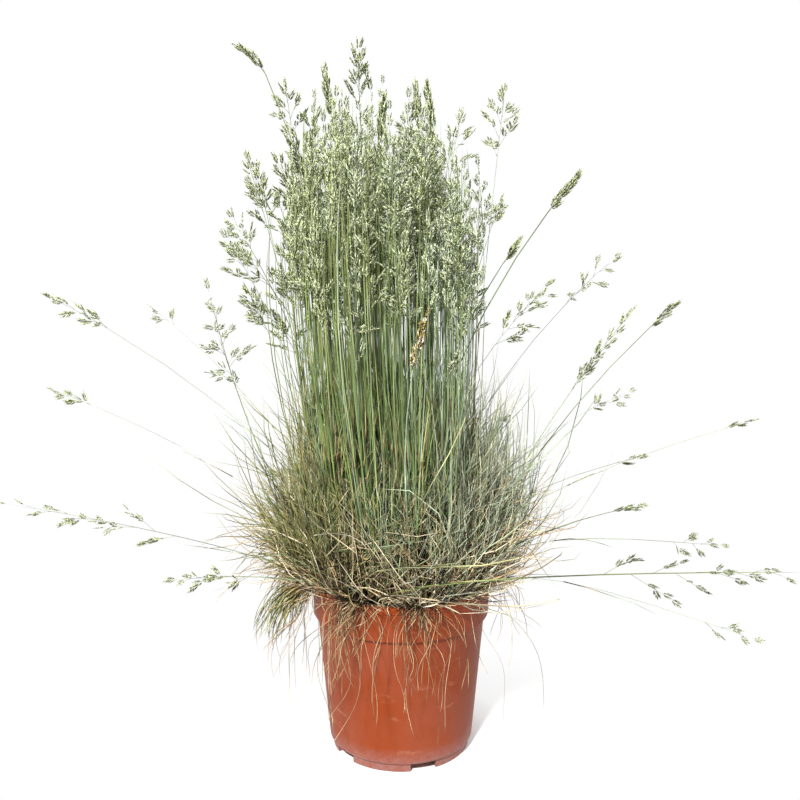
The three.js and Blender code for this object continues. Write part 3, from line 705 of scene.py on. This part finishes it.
# A culm that splays out of the stand. rise: how high its curve lifts; bow: how far out it has gone by then,
# as a share of its way
Splay = namedtuple(
    "Splay", "tip rise panicle openness tint thickness bow stem head", defaults=(0.18, "culm", "floret"),
)
SPLAYED_CULMS = (
    # Left, roughly from the lowest
    Splay((-0.208, -0.120, 0.216), 0.040, 0.065, 0.7, 0.6, 0.8),
    Splay((-0.392, -0.022, 0.258), 0.040, 0.150, 0.6, 0.8, 0.7),
    Splay((-0.378, 0.105, 0.349), 0.090, 0.045, 0.5, 0.9, 0.5),
    Splay((-0.304, -0.100, 0.467), 0.130, 0.055, 0.6, 0.9, 0.6),
    Splay((-0.272, 0.130, 0.436), 0.120, 0.035, 0.6, 0.9, 0.4),
    Splay((-0.196, 0.044, 0.464), 0.040, 0.100, 1.1, 0.6, 0.8, 0.6),
    Splay((-0.184, 0.020, 0.425), 0.040, 0.060, 1.0, 0.5, 0.8, 0.55),
    # Right, roughly from the lowest
    Splay((0.321, -0.130, 0.162), 0.050, 0.040, 0.8, 0.6, 0.35),
    Splay((0.360, 0.105, 0.172), 0.055, 0.055, 0.8, 0.4, 0.5),
    Splay((0.219, -0.090, 0.277), 0.060, 0.026, 0.2, 0.3, 0.6),
    Splay((0.217, -0.090, 0.323), 0.080, 0.018, 0.2, 0.3, 0.4),
    Splay((0.384, 0.110, 0.313), 0.080, 0.026, 0.1, 0.2, 0.4),
    Splay((0.258, 0.140, 0.343), 0.100, 0.060, 0.9, 0.9, 0.4),
    Splay((0.238, -0.100, 0.461), 0.120, 0.032, 0.05, 0.3, 0.6),
    Splay((0.238, 0.060, 0.441), 0.100, 0.110, 0.28, 0.5, 0.6),
    Splay((0.231, 0.120, 0.492), 0.140, 0.080, 1.0, 0.8, 0.5),
    Splay((0.150, 0.040, 0.470), 0.150, 0.100, 0.8, 0.7, 0.6),
    Splay((0.168, 0.006, 0.574), 0.200, 0.058, 0.05, 0.5, 1.3),
    Splay((0.107, -0.034, 0.512), 0.200, 0.034, 0.05, 0.45, 0.9),
    Splay((0.094, 0.010, 0.548), 0.240, 0.040, 0.5, 0.8, 0.6),
    # Above the stand, from the left
    Splay((-0.108, 0.010, 0.655), 0.280, 0.075, 0.8, 0.5, 0.8),
    Splay((-0.106, -0.010, 0.618), 0.240, 0.090, 0.3, 0.3, 0.9),
    Splay((-0.118, 0.006, 0.588), 0.230, 0.095, 0.4, 0.4, 0.9),
    Splay((-0.070, -0.010, 0.666), 0.280, 0.075, 0.05, 0.3, 0.9),
    Splay((-0.040, 0.000, 0.688), 0.280, 0.085, 0.5, 0.4, 0.9),
    Splay((-0.015, -0.020, 0.640), 0.260, 0.075, 0.05, 0.2, 0.9),
    Splay((0.013, 0.000, 0.654), 0.260, 0.065, 0.05, 0.5, 0.9),
    Splay((0.024, 0.010, 0.652), 0.260, 0.065, 0.05, 0.5, 0.9),
    Splay((0.055, 0.000, 0.628), 0.260, 0.080, 0.9, 0.8, 0.6),
    Splay((0.098, 0.020, 0.652), 0.230, 0.090, 0.8, 0.9, 0.6),
    # Front and back
    Splay((-0.070, -0.236, 0.296), 0.090, 0.008, 0.0, 0.8, 0.8, stem="straw"),
    Splay((0.044, -0.186, 0.430), 0.130, 0.034, 0.05, 0.1, 0.7),
    Splay((0.130, 0.232, 0.296), 0.090, 0.080, 0.6, 0.5, 0.8),
    Splay((-0.090, 0.228, 0.396), 0.120, 0.080, 0.6, 0.5, 0.8),
    Splay((0.020, 0.226, 0.440), 0.120, 0.060, 0.3, 0.5, 0.7),
    Splay((-0.160, 0.200, 0.240), 0.060, 0.070, 0.7, 0.6, 0.7),
)
# A culm with a way of its own. tuft: the one that it leaves; way: three points on it, a third of its length
# apart
ShapedCulm = namedtuple(
    "ShapedCulm", "tuft way panicle openness tint thickness stem head", defaults=("culm", "floret"),
)
SHAPED_CULMS = (
    # The slanting spike at the top left, and the long low culm at the right
    ShapedCulm(
        13, ((-0.076, 0.002, 0.360), (-0.094, 0.001, 0.560), (-0.143, 0.000, 0.676)), 0.050, 0.05, 0.3, 1.0,
    ),
    ShapedCulm(
        16, ((0.032, -0.114, 0.207), (0.190, -0.100, 0.212), (0.378, -0.062, 0.200)), 0.160, 0.6, 0.15, 1.7,
    ),
    # Bare ones low across the front, one that leans, and one whose panicle has dried
    ShapedCulm(
        16, ((-0.022, -0.104, 0.216), (0.042, -0.114, 0.224), (0.107, -0.098, 0.228)), 0.008, 0, 0.0, 1.5,
    ),
    ShapedCulm(
        16, ((-0.002, -0.112, 0.196), (0.070, -0.114, 0.188), (0.149, -0.072, 0.178)), 0.008, 0, 0.6, 1.3,
        stem="straw",
    ),
    ShapedCulm(
        17, ((0.000, -0.106, 0.236), (0.028, -0.108, 0.300), (0.057, -0.094, 0.356)), 0.008, 0, 0.0, 1.3,
    ),
    ShapedCulm(
        17, ((0.006, -0.092, 0.252), (0.004, -0.110, 0.347), (0.020, -0.118, 0.443)), 0.045, 0.05, 1.0, 1.2,
        head="straw",
    ),
)
# The loose group at the left of the stand: how many culms, and where their tips lie
FRINGE_COUNT = 10
FRINGE_X = (-0.165, -0.115)
FRINGE_Y = (-0.05, 0.05)
FRINGE_HEIGHTS = (0.430, 0.590)


def fringe_culms():
    """The culms of the loose group."""
    return [
        Splay(
            tip=(rng.uniform(*FRINGE_X), rng.uniform(*FRINGE_Y), height), rise=0.2, panicle=0.075,
            openness=rng.uniform(0.6, 1.0), tint=rng.uniform(0.3, 0.9), thickness=0.75, bow=0.3,
        )
        for height in np.linspace(*FRINGE_HEIGHTS, FRINGE_COUNT)
    ]


def nearest_tuft(centres, taken, splay):
    """The tuft whose side of the pot a splayed culm leaves by, each taken in turn."""
    bearing = math.atan2(splay.tip[1], splay.tip[0])
    way = OUTER_RING_RADIUS * np.array([math.cos(bearing), math.sin(bearing), 0.0])
    return int(np.argmin(np.linalg.norm(centres - way, axis=1) + 0.04 * np.array(taken)))


def splayed_control(centre, splay):
    """The curve of a splayed culm: up out of its tuft, then over towards its tip."""
    root = centre + UP * CULM_ROOT
    way = np.array(splay.tip) - root
    end = root + way - unit(way) * SPIKELET_LENGTH
    out = way * [1, 1, 0]
    wander = rng.uniform(-1, 1, 3) * [0.010, 0.010, 0.004]
    lift = root + UP * splay.rise + out * splay.bow + wander
    over = 0.62 + 0.5 * (splay.bow - 0.18)
    reach = root + out * over + UP * (0.62 * way[2] + 0.35 * splay.rise) + wander * 0.6
    return np.stack([root, lift, reach, end])[None]


def add_single_culm(growth, control, culm):
    """One culm, with as many branches as its panicle has room for; a narrow panicle's are closer."""
    panicle, openness, tint = (np.array([value]) for value in (culm.panicle, culm.openness, culm.tint))
    spacing = NODE_SPACING * (0.55 + 0.45 * culm.openness)
    nodes = min(int(culm.panicle / spacing), PANICLE_NODES) if culm.panicle > SPIKELET_LENGTH else 0
    add_culms(
        growth, control, panicle, openness, tint, culm.thickness, nodes, culm.stem, culm.head,
        SINGLE_CULM_SHADE,
    )


def tuft_centre(name, nominal):
    """Where a tuft stands: the middle of its crown's foot in the CAD model."""
    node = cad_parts[name]
    corners = np.array([v.co for v in node.data.vertices])
    near = np.hypot(*(corners[:, :2] - nominal[:2]).T) < 2 * CROWN_RADIUS
    foot = corners[near & (np.abs(corners[:, 2] - CROWN_BOTTOM) < 0.0005)]
    middle = foot.mean(0) if len(foot) else nominal
    return np.array([middle[0], middle[1], 0.0])


def build_tufts(materials):
    """A piece for each tuft, in place of its CAD node."""
    centres, rings = [], []
    for ring, (count, radius) in enumerate(TUFT_RINGS):
        for i in range(count):
            angle = TURN * (i + 0.5) / count
            nominal = np.array([radius * math.cos(angle), radius * math.sin(angle), 0.0])
            centres.append(tuft_centre(f"tuft_{len(centres) + 1:02}", nominal))
            rings.append(ring)
    growths = [Growth() for _ in centres]
    taken = [0] * len(centres)
    for splay in (*SPLAYED_CULMS, *fringe_culms()):
        chosen = nearest_tuft(np.array(centres), taken, splay)
        taken[chosen] += 1
        add_single_culm(growths[chosen], splayed_control(centres[chosen], splay), splay)
    for culm in SHAPED_CULMS:
        root = centres[culm.tuft - 1] + UP * CULM_ROOT
        add_single_culm(growths[culm.tuft - 1], through((root, *culm.way))[None], culm)
    for i, (centre, ring, growth) in enumerate(zip(centres, rings, growths)):
        add_leaves(growth, centre, ring, MOUND_LEAVES)
        add_leaves(growth, centre, ring, TALL_LEAVES)
        add_thatch(growth, centre, CROWN_RADIUS, TUFT_STRAW_COUNTS[ring], TUFT_ROT_AND_SHADE_SHARE)
        add_stubs(growth, centre, STUB_HEIGHTS[ring])
        add_upright_culms(growth, centre, ring)
        piece = growth.build(f"fescue_tuft_{i + 1:02}", materials)
        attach(piece, "root")
        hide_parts(f"tuft_{i + 1:02}")


def build_bunches(materials):
    """A piece for each bunch of dead leaves, in place of its CAD node."""
    for i in range(BUNCH_COUNT):
        angle = TURN * i / BUNCH_COUNT
        centre = BUNCH_REACH * np.array([math.cos(angle), math.sin(angle), 0.0])
        growth = Growth()
        add_thatch(growth, centre, BUNCH_RADIUS, THATCH_COUNTS[i], ROT_AND_SHADE_SHARES[i])
        add_drapes(growth, centre, angle, DRAPE_COUNTS[i])
        if SKIRT_COUNTS[i]:
            add_skirt(growth, centre, angle, SKIRT_COUNTS[i])
        piece = growth.build(f"straw_bunch_{i + 1:02}", materials)
        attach(piece, "root")
        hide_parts(f"dead_leaves_{i + 1:02}")


# Materials


# How the noise of streaks and of fine ribs is stretched on a blade, across and along it
STREAKS = (70, 3.5, 1)
RIBS = (420, 5, 1)
POT_SMEARS = (26, 26, 74)


def grey(value):
    return (value, value, value, 1)


class Shading:
    """A material, and the shader nodes that it is made of. A value is a socket of a node, or plain."""

    def __init__(self, name, roughness, specular=0.5):
        self.material = bpy.data.materials.new(name)
        self.material.use_nodes = True
        self.tree = self.material.node_tree
        self.shader = self.tree.nodes["Principled BSDF"]
        self.shader.inputs["Roughness"].default_value = roughness
        self.shader.inputs["Specular IOR Level"].default_value = specular

    def feed(self, value, target):
        """Puts a value into an input."""
        if hasattr(value, "links"):
            self.tree.links.new(value, target)
        else:
            target.default_value = value

    def node(self, kind, **values):
        """A shader node, with its settings and inputs by name."""
        node = self.tree.nodes.new(kind)
        for name, value in values.items():
            if hasattr(node, name):
                setattr(node, name, value)
            else:
                self.feed(value, node.inputs[name])
        return node

    def place(self):
        """Where a point lies in the piece's own frame."""
        return self.node("ShaderNodeTexCoord").outputs["Object"]

    def stretched(self, place, scale):
        return self.node("ShaderNodeMapping", Vector=place, Scale=scale).outputs["Vector"]

    def noise(self, place, scale, detail, roughness=0.5):
        node = self.node("ShaderNodeTexNoise", Vector=place, Scale=scale, Detail=detail, Roughness=roughness)
        return node.outputs["Fac"]

    def ramp(self, value, stops):
        """A colour ramp from (place, colour) or (place, colour, how much of it shows)."""
        node = self.node("ShaderNodeValToRGB", Fac=value)
        elements = node.color_ramp.elements
        while len(elements) < len(stops):
            elements.new(0.5)
        for element, (place, colour, *share) in zip(elements, stops):
            element.position = place
            element.color = (*colour[:3], *share) if share else colour
        return node.outputs["Color"]

    def mixed(self, factor, first, second, blend="MIX"):
        """Two colours mixed."""
        node = self.node("ShaderNodeMix", data_type="RGBA", blend_type=blend)
        for index, value in ((0, factor), (6, first), (7, second)):
            self.feed(value, node.inputs[index])
        return node.outputs[2]

    def finish(self, colour, relief, strength, distance):
        """Gives the shader its colour and a fine relief, and returns the material."""
        bump = self.node("ShaderNodeBump", Height=relief, Strength=strength, Distance=distance)
        self.feed(colour, self.shader.inputs["Base Color"])
        self.feed(bump.outputs["Normal"], self.shader.inputs["Normal"])
        return self.material


def growth_material(name, tints, ends, roughness, vary):
    """Colour by each blade's tint, overlaid along the blade (painted shade at the root, for leaves and
    straw), with streaks and a lightness of its own.
    """
    shading = Shading(name, roughness, 0.35)
    place = shading.node("ShaderNodeUVMap", uv_map=GROWTH_MAP).outputs["UV"]
    split = shading.node("ShaderNodeSeparateXYZ", Vector=place)
    tint = shading.ramp(split.outputs["X"], tints)
    end = shading.ramp(split.outputs["Y"], ends)
    colour = shading.mixed(end.node.outputs["Alpha"], tint, end)
    streaks = shading.noise(shading.stretched(place, STREAKS), 1.0, 3.0)
    low, high = vary
    lightness = shading.ramp(streaks, [(0.38, grey(low)), (0.62, grey(high))])
    colour = shading.mixed(1.0, colour, lightness, "MULTIPLY")
    ribs = shading.noise(shading.stretched(place, RIBS), 1.0, 2.0)
    return shading.finish(colour, ribs, 0.35, 0.0001)


def make_growth_materials():
    """The four kinds of growth."""
    olive = shown_colour(116, 114, 68)
    yellow_green = shown_colour(144, 145, 90)
    mid_green = shown_colour(120, 136, 102)
    blue_green = shown_colour(140, 152, 126)
    blue_grey = shown_colour(176, 181, 160)
    straw = shown_colour(206, 188, 144)
    brown = shown_colour(120, 100, 66)
    # Near black: painted shade at the roots of leaves and straw, and the colour of rotted straw that also
    # stands in as painted shade
    painted_shade_and_rot = shown_colour(15, 10, 5)
    tan = shown_colour(178, 148, 106)
    # The leaves darken to painted shade over their first sixth from the root, where the tuft's inside lies
    # in shade
    leaf = growth_material(
        "Fescue leaf",
        [(0.0, olive), (0.2, yellow_green), (0.45, mid_green), (0.75, blue_green), (1.0, blue_grey)],
        [(0.0, painted_shade_and_rot, 0.95), (0.17, painted_shade_and_rot, 0.88), (0.27, tan, 0.9), (0.36, tan, 0.6), (0.5, tan, 0.0),
         (0.88, straw, 0.0), (1.0, straw, 0.75)],
        0.45, (0.1, 2.15),
    )
    culm = growth_material(
        "Fescue culm",
        [(0.0, shown_colour(178, 180, 130)), (0.15, shown_colour(124, 144, 78)),
         (0.45, shown_colour(100, 130, 70)), (0.7, shown_colour(126, 152, 110)),
         (1.0, shown_colour(186, 200, 180))],
        [(0.0, straw, 0.8), (0.1, straw, 0.1), (0.165, brown, 0.0), (0.178, brown, 0.85), (0.19, straw, 0.0),
         (0.39, brown, 0.0), (0.402, brown, 0.85), (0.415, straw, 0.0), (1.0, straw, 0.2)],
        0.4, (0.24, 1.75),
    )
    floret = growth_material(
        "Fescue floret",
        [(0.0, shown_colour(104, 112, 80)), (0.18, shown_colour(136, 144, 102)),
         (0.36, shown_colour(194, 202, 146)), (0.65, shown_colour(166, 180, 146)),
         (1.0, shown_colour(218, 226, 208))],
        [(0.0, shown_colour(66, 78, 46), 0.8), (0.4, shown_colour(120, 130, 84), 0.0),
         (0.7, shown_colour(228, 232, 204), 0.45), (1.0, shown_colour(238, 238, 218), 0.9)],
        0.5, (0.2, 1.68),
    )
    # The straw darkens to painted shade over its first quarter from the root
    dry = growth_material(
        "Fescue straw",
        # Tints 0 to 0.03 are near-black rotted blades, which also stand in as painted shade
        [(0.0, painted_shade_and_rot), (0.03, painted_shade_and_rot), (0.08, shown_colour(118, 94, 64)), (0.25, shown_colour(174, 146, 104)),
         (0.6, shown_colour(216, 198, 160)), (0.86, shown_colour(246, 236, 214)),
         (0.93, shown_colour(164, 146, 86))],
        [(0.0, painted_shade_and_rot, 0.97), (0.26, painted_shade_and_rot, 0.9), (0.42, brown, 0.0), (0.85, straw, 0.0),
         (1.0, shown_colour(206, 186, 132), 0.6)],
        0.5, (0.24, 1.85),
    )
    return {"leaf": leaf, "culm": culm, "floret": floret, "straw": dry}


def make_pot_material():
    """Moulded terracotta-coloured plastic, with scuffs, dust and a worn foot."""
    shading = Shading("Terracotta plastic", 0.5, 0.18)
    place = shading.place()
    height = shading.node("ShaderNodeSeparateXYZ", Vector=place).outputs["Z"]
    clouds = shading.noise(place, 16.0, 5.0, 0.6)
    body = shading.ramp(clouds, [(0.36, shown_colour(141, 56, 10)), (0.64, shown_colour(147, 69, 41))])
    smears = shading.noise(shading.stretched(place, POT_SMEARS), 1.0, 5.0, 0.7)
    scuffed = shading.ramp(smears, [(0.585, grey(0)), (0.76, grey(0.5))])
    colour = shading.mixed(scuffed, body, shown_colour(208, 146, 116))
    worn = shading.ramp(height, [(0.0, grey(0.95)), (0.009, grey(0.8)), (0.026, grey(0))])
    specks = shading.noise(place, 180.0, 4.0, 0.7)
    speckled = shading.ramp(specks, [(0.35, grey(0.35)), (0.65, grey(1))])
    dusty = shading.mixed(1.0, worn, speckled, "MULTIPLY")
    colour = shading.mixed(dusty, colour, shown_colour(148, 113, 108))
    return shading.finish(colour, shading.noise(place, 900.0, 2.0), 0.12, 0.0003)


def make_soil_material():
    """Dark peat mix, with paler fibres."""
    shading = Shading("Potting mix", 0.95)
    place = shading.place()
    crumbs = shading.node("ShaderNodeTexVoronoi", Vector=place, Scale=420.0).outputs["Color"]
    clouds = shading.noise(place, 60.0, 5.0)
    dark = shading.ramp(clouds, [(0.35, shown_colour(22, 16, 11)), (0.7, shown_colour(58, 45, 34))])
    crumb = shading.ramp(crumbs, [(0.2, grey(0.6)), (1.0, (1.5, 1.4, 1.3, 1))])
    colour = shading.mixed(1.0, dark, crumb, "MULTIPLY")
    return shading.finish(colour, clouds, 0.6, 0.001)


# Pot and potting mix

POT_SIDES = 160
BASE_BOTTOM = 0.007
BASE_TOP = 0.009
FOOT_INNER = 0.065
FOOT_OUTER = 0.069
FOOT_HEIGHT = 0.008
NOTCH_COUNT = 5
NOTCH_FIRST_ANGLE = math.radians(-71.4)
NOTCH_SIZE = (0.020, 0.026, 0.0156)
DRAIN_REACH = 0.048
DRAIN_RADIUS = 0.005
DRAIN_SIDES = 32
DRAIN_CUT = 0.008
LIP_DEPTH = 0.007
COLLAR_TOP_RADIUS = 0.0882
SHARP_ANGLE = math.radians(40)
WALL_THICKNESS = 0.0018


def arc(centre, radii, start, end, count):
    """Outline points round part of an ellipse, from one angle to another in degrees."""
    angles = np.radians(np.linspace(start, end, count))
    return [(centre[0] + radii[0] * math.cos(a), centre[1] + radii[1] * math.sin(a)) for a in angles]


def lathe(name, outline, sides):
    """A closed round mesh from an outline that starts and ends on the axis."""
    inner = outline[1:-1]
    angles = TURN * np.arange(sides) / sides
    corners = [(r * math.cos(a), r * math.sin(a), z) for r, z in inner for a in angles]
    rings = len(inner)
    faces = [
        (i * sides + j, i * sides + (j + 1) % sides, (i + 1) * sides + (j + 1) % sides, (i + 1) * sides + j)
        for i in range(rings - 1) for j in range(sides)
    ]
    foot, top = len(corners), len(corners) + 1
    corners += [(0, 0, outline[0][1]), (0, 0, outline[-1][1])]
    faces += [(foot, (j + 1) % sides, j) for j in range(sides)]
    last = (rings - 1) * sides
    faces += [(top, last + j, last + (j + 1) % sides) for j in range(sides)]
    mesh = bpy.data.meshes.new(name)
    mesh.from_pydata(corners, [], faces)
    mesh.update()
    piece = bpy.data.objects.new(name, mesh)
    bpy.context.scene.collection.objects.link(piece)
    return piece


def cut_away(piece, cutters):
    """Cuts the solids out of a piece and removes them."""
    for cutter in cutters:
        modifier = piece.modifiers.new("Cut", "BOOLEAN")
        modifier.operation = "DIFFERENCE"
        modifier.solver = "EXACT"
        modifier.object = cutter
    cut = bpy.data.meshes.new_from_object(piece.evaluated_get(bpy.context.evaluated_depsgraph_get()))
    piece.modifiers.clear()
    piece.data = cut
    for cutter in cutters:
        bpy.data.objects.remove(cutter)


def pot_outline():
    """The pot's outline as (radius, height) pairs, from the middle of its base round to its inside."""
    collar_top = POT_TOP - LIP_DEPTH - 0.001
    foot_bend = FOOT_OUTER + 0.001
    return [
        (0, BASE_BOTTOM),
        (FOOT_INNER - 0.0005, BASE_BOTTOM),
        *arc((FOOT_INNER + 0.0006, 0.0006), (0.0006, 0.0006), 180, 270, 4),
        *arc((FOOT_OUTER - 0.0008, 0.0008), (0.0008, 0.0008), -90, 0, 4),
        (FOOT_OUTER + 0.0004, FOOT_HEIGHT),
        *arc((foot_bend, WALL_BOTTOM + 0.004), (WALL_BOTTOM_RADIUS - foot_bend, 0.004), -90, 0, 8),
        (WALL_TOP_RADIUS, WALL_TOP - 0.0005),
        (WALL_TOP_RADIUS + 0.0005, WALL_TOP + 0.0009),
        (COLLAR_RADIUS - 0.0009, COLLAR_BOTTOM - 0.0012),
        *arc((COLLAR_RADIUS - 0.0008, COLLAR_BOTTOM), (0.0008, 0.0008), -60, 0, 4),
        (COLLAR_TOP_RADIUS, collar_top - 0.0012),
        (COLLAR_TOP_RADIUS + 0.0002, collar_top - 0.0002),
        *arc((LIP_RADIUS - 0.001, collar_top + 0.0012), (0.001, 0.0012), -70, 0, 5),
        *arc((LIP_RADIUS - 0.0012, POT_TOP - 0.0012), (0.0012, 0.0012), 0, 90, 6),
        *arc((MOUTH_RADIUS + 0.0009, POT_TOP - 0.0009), (0.0009, 0.0009), 90, 180, 5),
        (COLLAR_RADIUS - WALL_THICKNESS, COLLAR_BOTTOM + 0.001),
        (WALL_TOP_RADIUS - WALL_THICKNESS, WALL_TOP + 0.001),
        (WALL_BOTTOM_RADIUS - WALL_THICKNESS, BASE_TOP + 0.002),
        (WALL_BOTTOM_RADIUS - WALL_THICKNESS - 0.002, BASE_TOP),
        (0, BASE_TOP),
    ]


def build_pot(material):
    """The pot: a thin moulded shell, its foot ring notched and its base pierced."""
    pot = lathe("pot_shell", pot_outline(), POT_SIDES)
    cutters = []
    for i in range(NOTCH_COUNT):
        angle = NOTCH_FIRST_ANGLE + TURN * i / NOTCH_COUNT
        reach = Vector((math.cos(angle), math.sin(angle), 0))
        bpy.ops.mesh.primitive_cube_add(size=1, location=reach * FOOT_OUTER, rotation=(0, 0, angle))
        notch = bpy.context.object
        notch.scale = NOTCH_SIZE
        cutters.append(notch)
        drain = reach * DRAIN_REACH + Vector((0, 0, BASE_BOTTOM))
        bpy.ops.mesh.primitive_cylinder_add(
            vertices=DRAIN_SIDES, radius=DRAIN_RADIUS, depth=DRAIN_CUT, location=drain,
        )
        cutters.append(bpy.context.object)
    cut_away(pot, cutters)
    pot.data.materials.append(material)
    pot.data.shade_smooth()
    pot.data.set_sharp_from_angle(angle=SHARP_ANGLE)
    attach(pot, "root")
    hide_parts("pot")


SOIL_SIDES = 150
SOIL_RINGS = 46
SOIL_GAP = 0.0004
CRUMB_COUNT = 900


def soil_height(x, y):
    """The crumbly top of the mix: broad lumps, and crumbs of three sizes on them."""
    height = 0.0016 * np.sin(130 * x + 1) * np.cos(170 * y) + 0.001 * np.sin(310 * x - 230 * y)
    for size, depth, turn in ((520, 0.0008, 0.7), (940, 0.0006, 1.9), (1700, 0.0004, 2.9)):
        along = size * (x * math.cos(turn) + y * math.sin(turn))
        across = size * (y * math.cos(turn) - x * math.sin(turn))
        ridges = np.sin(along + 1.7 * np.sin(0.61 * across))
        cross_ridges = np.sin(across + 1.3 * np.cos(0.53 * along))
        height = height + depth * ridges * cross_ridges
    return height


def build_soil(material):
    """The potting mix: a filled taper with a crumbly top, and loose crumbs sunk into it."""
    inner_top = COLLAR_RADIUS - WALL_THICKNESS - SOIL_GAP
    radii = inner_top * np.linspace(1, 0, SOIL_RINGS + 1)[:-1] ** 0.9
    outline = [
        (0, BASE_TOP + SOIL_GAP),
        (WALL_BOTTOM_RADIUS - WALL_THICKNESS - 0.0025, BASE_TOP + SOIL_GAP),
        (WALL_TOP_RADIUS - WALL_THICKNESS - SOIL_GAP, WALL_TOP + 0.0012),
        (inner_top, COLLAR_BOTTOM + 0.0016),
        *((radius, SOIL_TOP) for radius in radii),
        (0, SOIL_TOP),
    ]
    soil = lathe("potting_mix_top", outline, SOIL_SIDES)
    corners = np.array([v.co for v in soil.data.vertices])
    top = corners[:, 2] > SOIL_TOP - 0.001
    jitter = rng.normal(0, 0.0002, (top.sum(), 2))
    inside = np.hypot(*corners[top, :2].T) < inner_top - 0.001
    corners[top, :2] += jitter * inside[:, None]
    corners[top, 2] += soil_height(*corners[top, :2].T)
    soil.data.vertices.foreach_set("co", corners.ravel())
    soil.data.update()
    crumbs = build_crumbs(inner_top - 0.004)
    join(soil, crumbs)
    soil.data.materials.append(material)
    soil.data.shade_smooth()
    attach(soil, "root")
    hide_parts("potting_mix")


def build_crumbs(reach):
    """Loose lumps half sunk in the top of the mix."""
    bpy.ops.mesh.primitive_ico_sphere_add(subdivisions=1, radius=1)
    ball = bpy.context.object
    shape = np.array([v.co for v in ball.data.vertices])
    faces = np.array([list(p.vertices) for p in ball.data.polygons])
    bpy.data.objects.remove(ball)
    distance = reach * np.sqrt(rng.random(CRUMB_COUNT))
    angle = rng.uniform(0, TURN, CRUMB_COUNT)
    x, y = distance * np.cos(angle), distance * np.sin(angle)
    size = 0.0008 + 0.0022 * rng.random(CRUMB_COUNT) ** 2
    middle = np.stack([x, y, SOIL_TOP + soil_height(x, y) + 0.2 * size], axis=-1)
    stretch = rng.uniform(0.6, 1.3, (CRUMB_COUNT, 1, 3)) * size[:, None, None]
    lumps = shape * (1 + rng.normal(0, 0.16, (CRUMB_COUNT, len(shape), 1)))
    corners = (middle[:, None] + lumps * stretch).reshape(-1, 3)
    mesh = bpy.data.meshes.new("crumbs")
    mesh.from_pydata(corners.tolist(), [], repeated(faces, CRUMB_COUNT, len(shape)).tolist())
    crumbs = bpy.data.objects.new("crumbs", mesh)
    bpy.context.scene.collection.objects.link(crumbs)
    return crumbs


def join(piece, other):
    """Puts another object's mesh into a piece."""
    bpy.ops.object.select_all(action="DESELECT")
    other.select_set(True)
    piece.select_set(True)
    bpy.context.view_layer.objects.active = piece
    bpy.ops.object.join()


# Stage, light and camera

CAMERA_PLACE = (-0.001, -1.0, 0.540)
CAMERA_PITCH = math.radians(10.6)
CAMERA_LENS = 47.25
SENSOR_WIDTH = 36
FLOOR_RADIUS = 8
SUN_FROM = (-0.3, -1.0, 1.0)
SUN_STRENGTH = 5.25
SUN_WIDTH = math.radians(4)
FILL_FROM = (0.6, 1.0, 0.9)
FILL_STRENGTH = 1.6
FILL_WIDTH = math.radians(30)
SKY_STRENGTH = 0.2


def build_stage():
    """A plain white floor that fades into the white round it."""
    bpy.ops.mesh.primitive_circle_add(
        vertices=96, radius=FLOOR_RADIUS, fill_type="NGON", location=(0, 0, -0.0002),
    )
    floor = bpy.context.object
    floor.name = "floor"
    shading = Shading("Floor", 0.9)
    shading.shader.inputs["Base Color"].default_value = (0.93, 0.93, 0.93, 1)
    distance = shading.node("ShaderNodeVectorMath", operation="LENGTH", Vector=shading.place())
    share = shading.node("ShaderNodeMath", operation="DIVIDE")
    shading.feed(distance.outputs["Value"], share.inputs[0])
    shading.feed(FLOOR_RADIUS, share.inputs[1])
    fade = shading.ramp(share.outputs[0], [(0.0092, grey(0)), (0.013, grey(0.78)), (0.03, grey(1))])
    blend = shading.node("ShaderNodeMixShader")
    white = shading.node("ShaderNodeEmission")
    for source, target in zip((fade, shading.shader.outputs[0], white.outputs[0]), blend.inputs):
        shading.feed(source, target)
    shading.feed(blend.outputs[0], shading.tree.nodes["Material Output"].inputs["Surface"])
    floor.data.materials.append(shading.material)


def build_world():
    """White all round: full white to the eye, and softer as light."""
    world = bpy.data.worlds.new("World")
    bpy.context.scene.world = world
    world.use_nodes = True
    nodes, links = world.node_tree.nodes, world.node_tree.links
    background = nodes["Background"]
    background.inputs["Color"].default_value = (1, 1, 1, 1)
    seen = nodes.new("ShaderNodeLightPath")
    strength = nodes.new("ShaderNodeMapRange")
    strength.inputs["To Min"].default_value = SKY_STRENGTH
    strength.inputs["To Max"].default_value = 1.0
    links.new(seen.outputs["Is Camera Ray"], strength.inputs["Value"])
    links.new(strength.outputs["Result"], background.inputs["Strength"])


def build_lights():
    """Sunlight from the upper left in front, and a weak soft light from behind."""
    for name, place, strength, width in (
        ("sun", SUN_FROM, SUN_STRENGTH, SUN_WIDTH), ("fill", FILL_FROM, FILL_STRENGTH, FILL_WIDTH),
    ):
        light = bpy.data.lights.new(name, "SUN")
        light.angle = width
        light.energy = strength
        lamp = bpy.data.objects.new(name, light)
        lamp.rotation_euler = (-Vector(place)).to_track_quat("-Z", "Y").to_euler()
        bpy.context.scene.collection.objects.link(lamp)


def build_camera():
    """The photograph's viewpoint: a metre off and a little above the leaves, looking slightly down."""
    camera = bpy.data.cameras.new("camera")
    camera.lens = CAMERA_LENS
    camera.sensor_width = SENSOR_WIDTH
    camera.clip_start = 0.01
    eye = bpy.data.objects.new("camera", camera)
    eye.location = CAMERA_PLACE
    eye.rotation_euler = (math.pi / 2 - CAMERA_PITCH, 0, 0)
    bpy.context.scene.collection.objects.link(eye)
    bpy.context.scene.camera = eye


bpy.context.scene.view_settings.view_transform = "Standard"
build_camera()
build_stage()
build_world()
build_lights()
build_pot(make_pot_material())
build_soil(make_soil_material())
growth_materials = make_growth_materials()
build_tufts(growth_materials)
build_bunches(growth_materials)
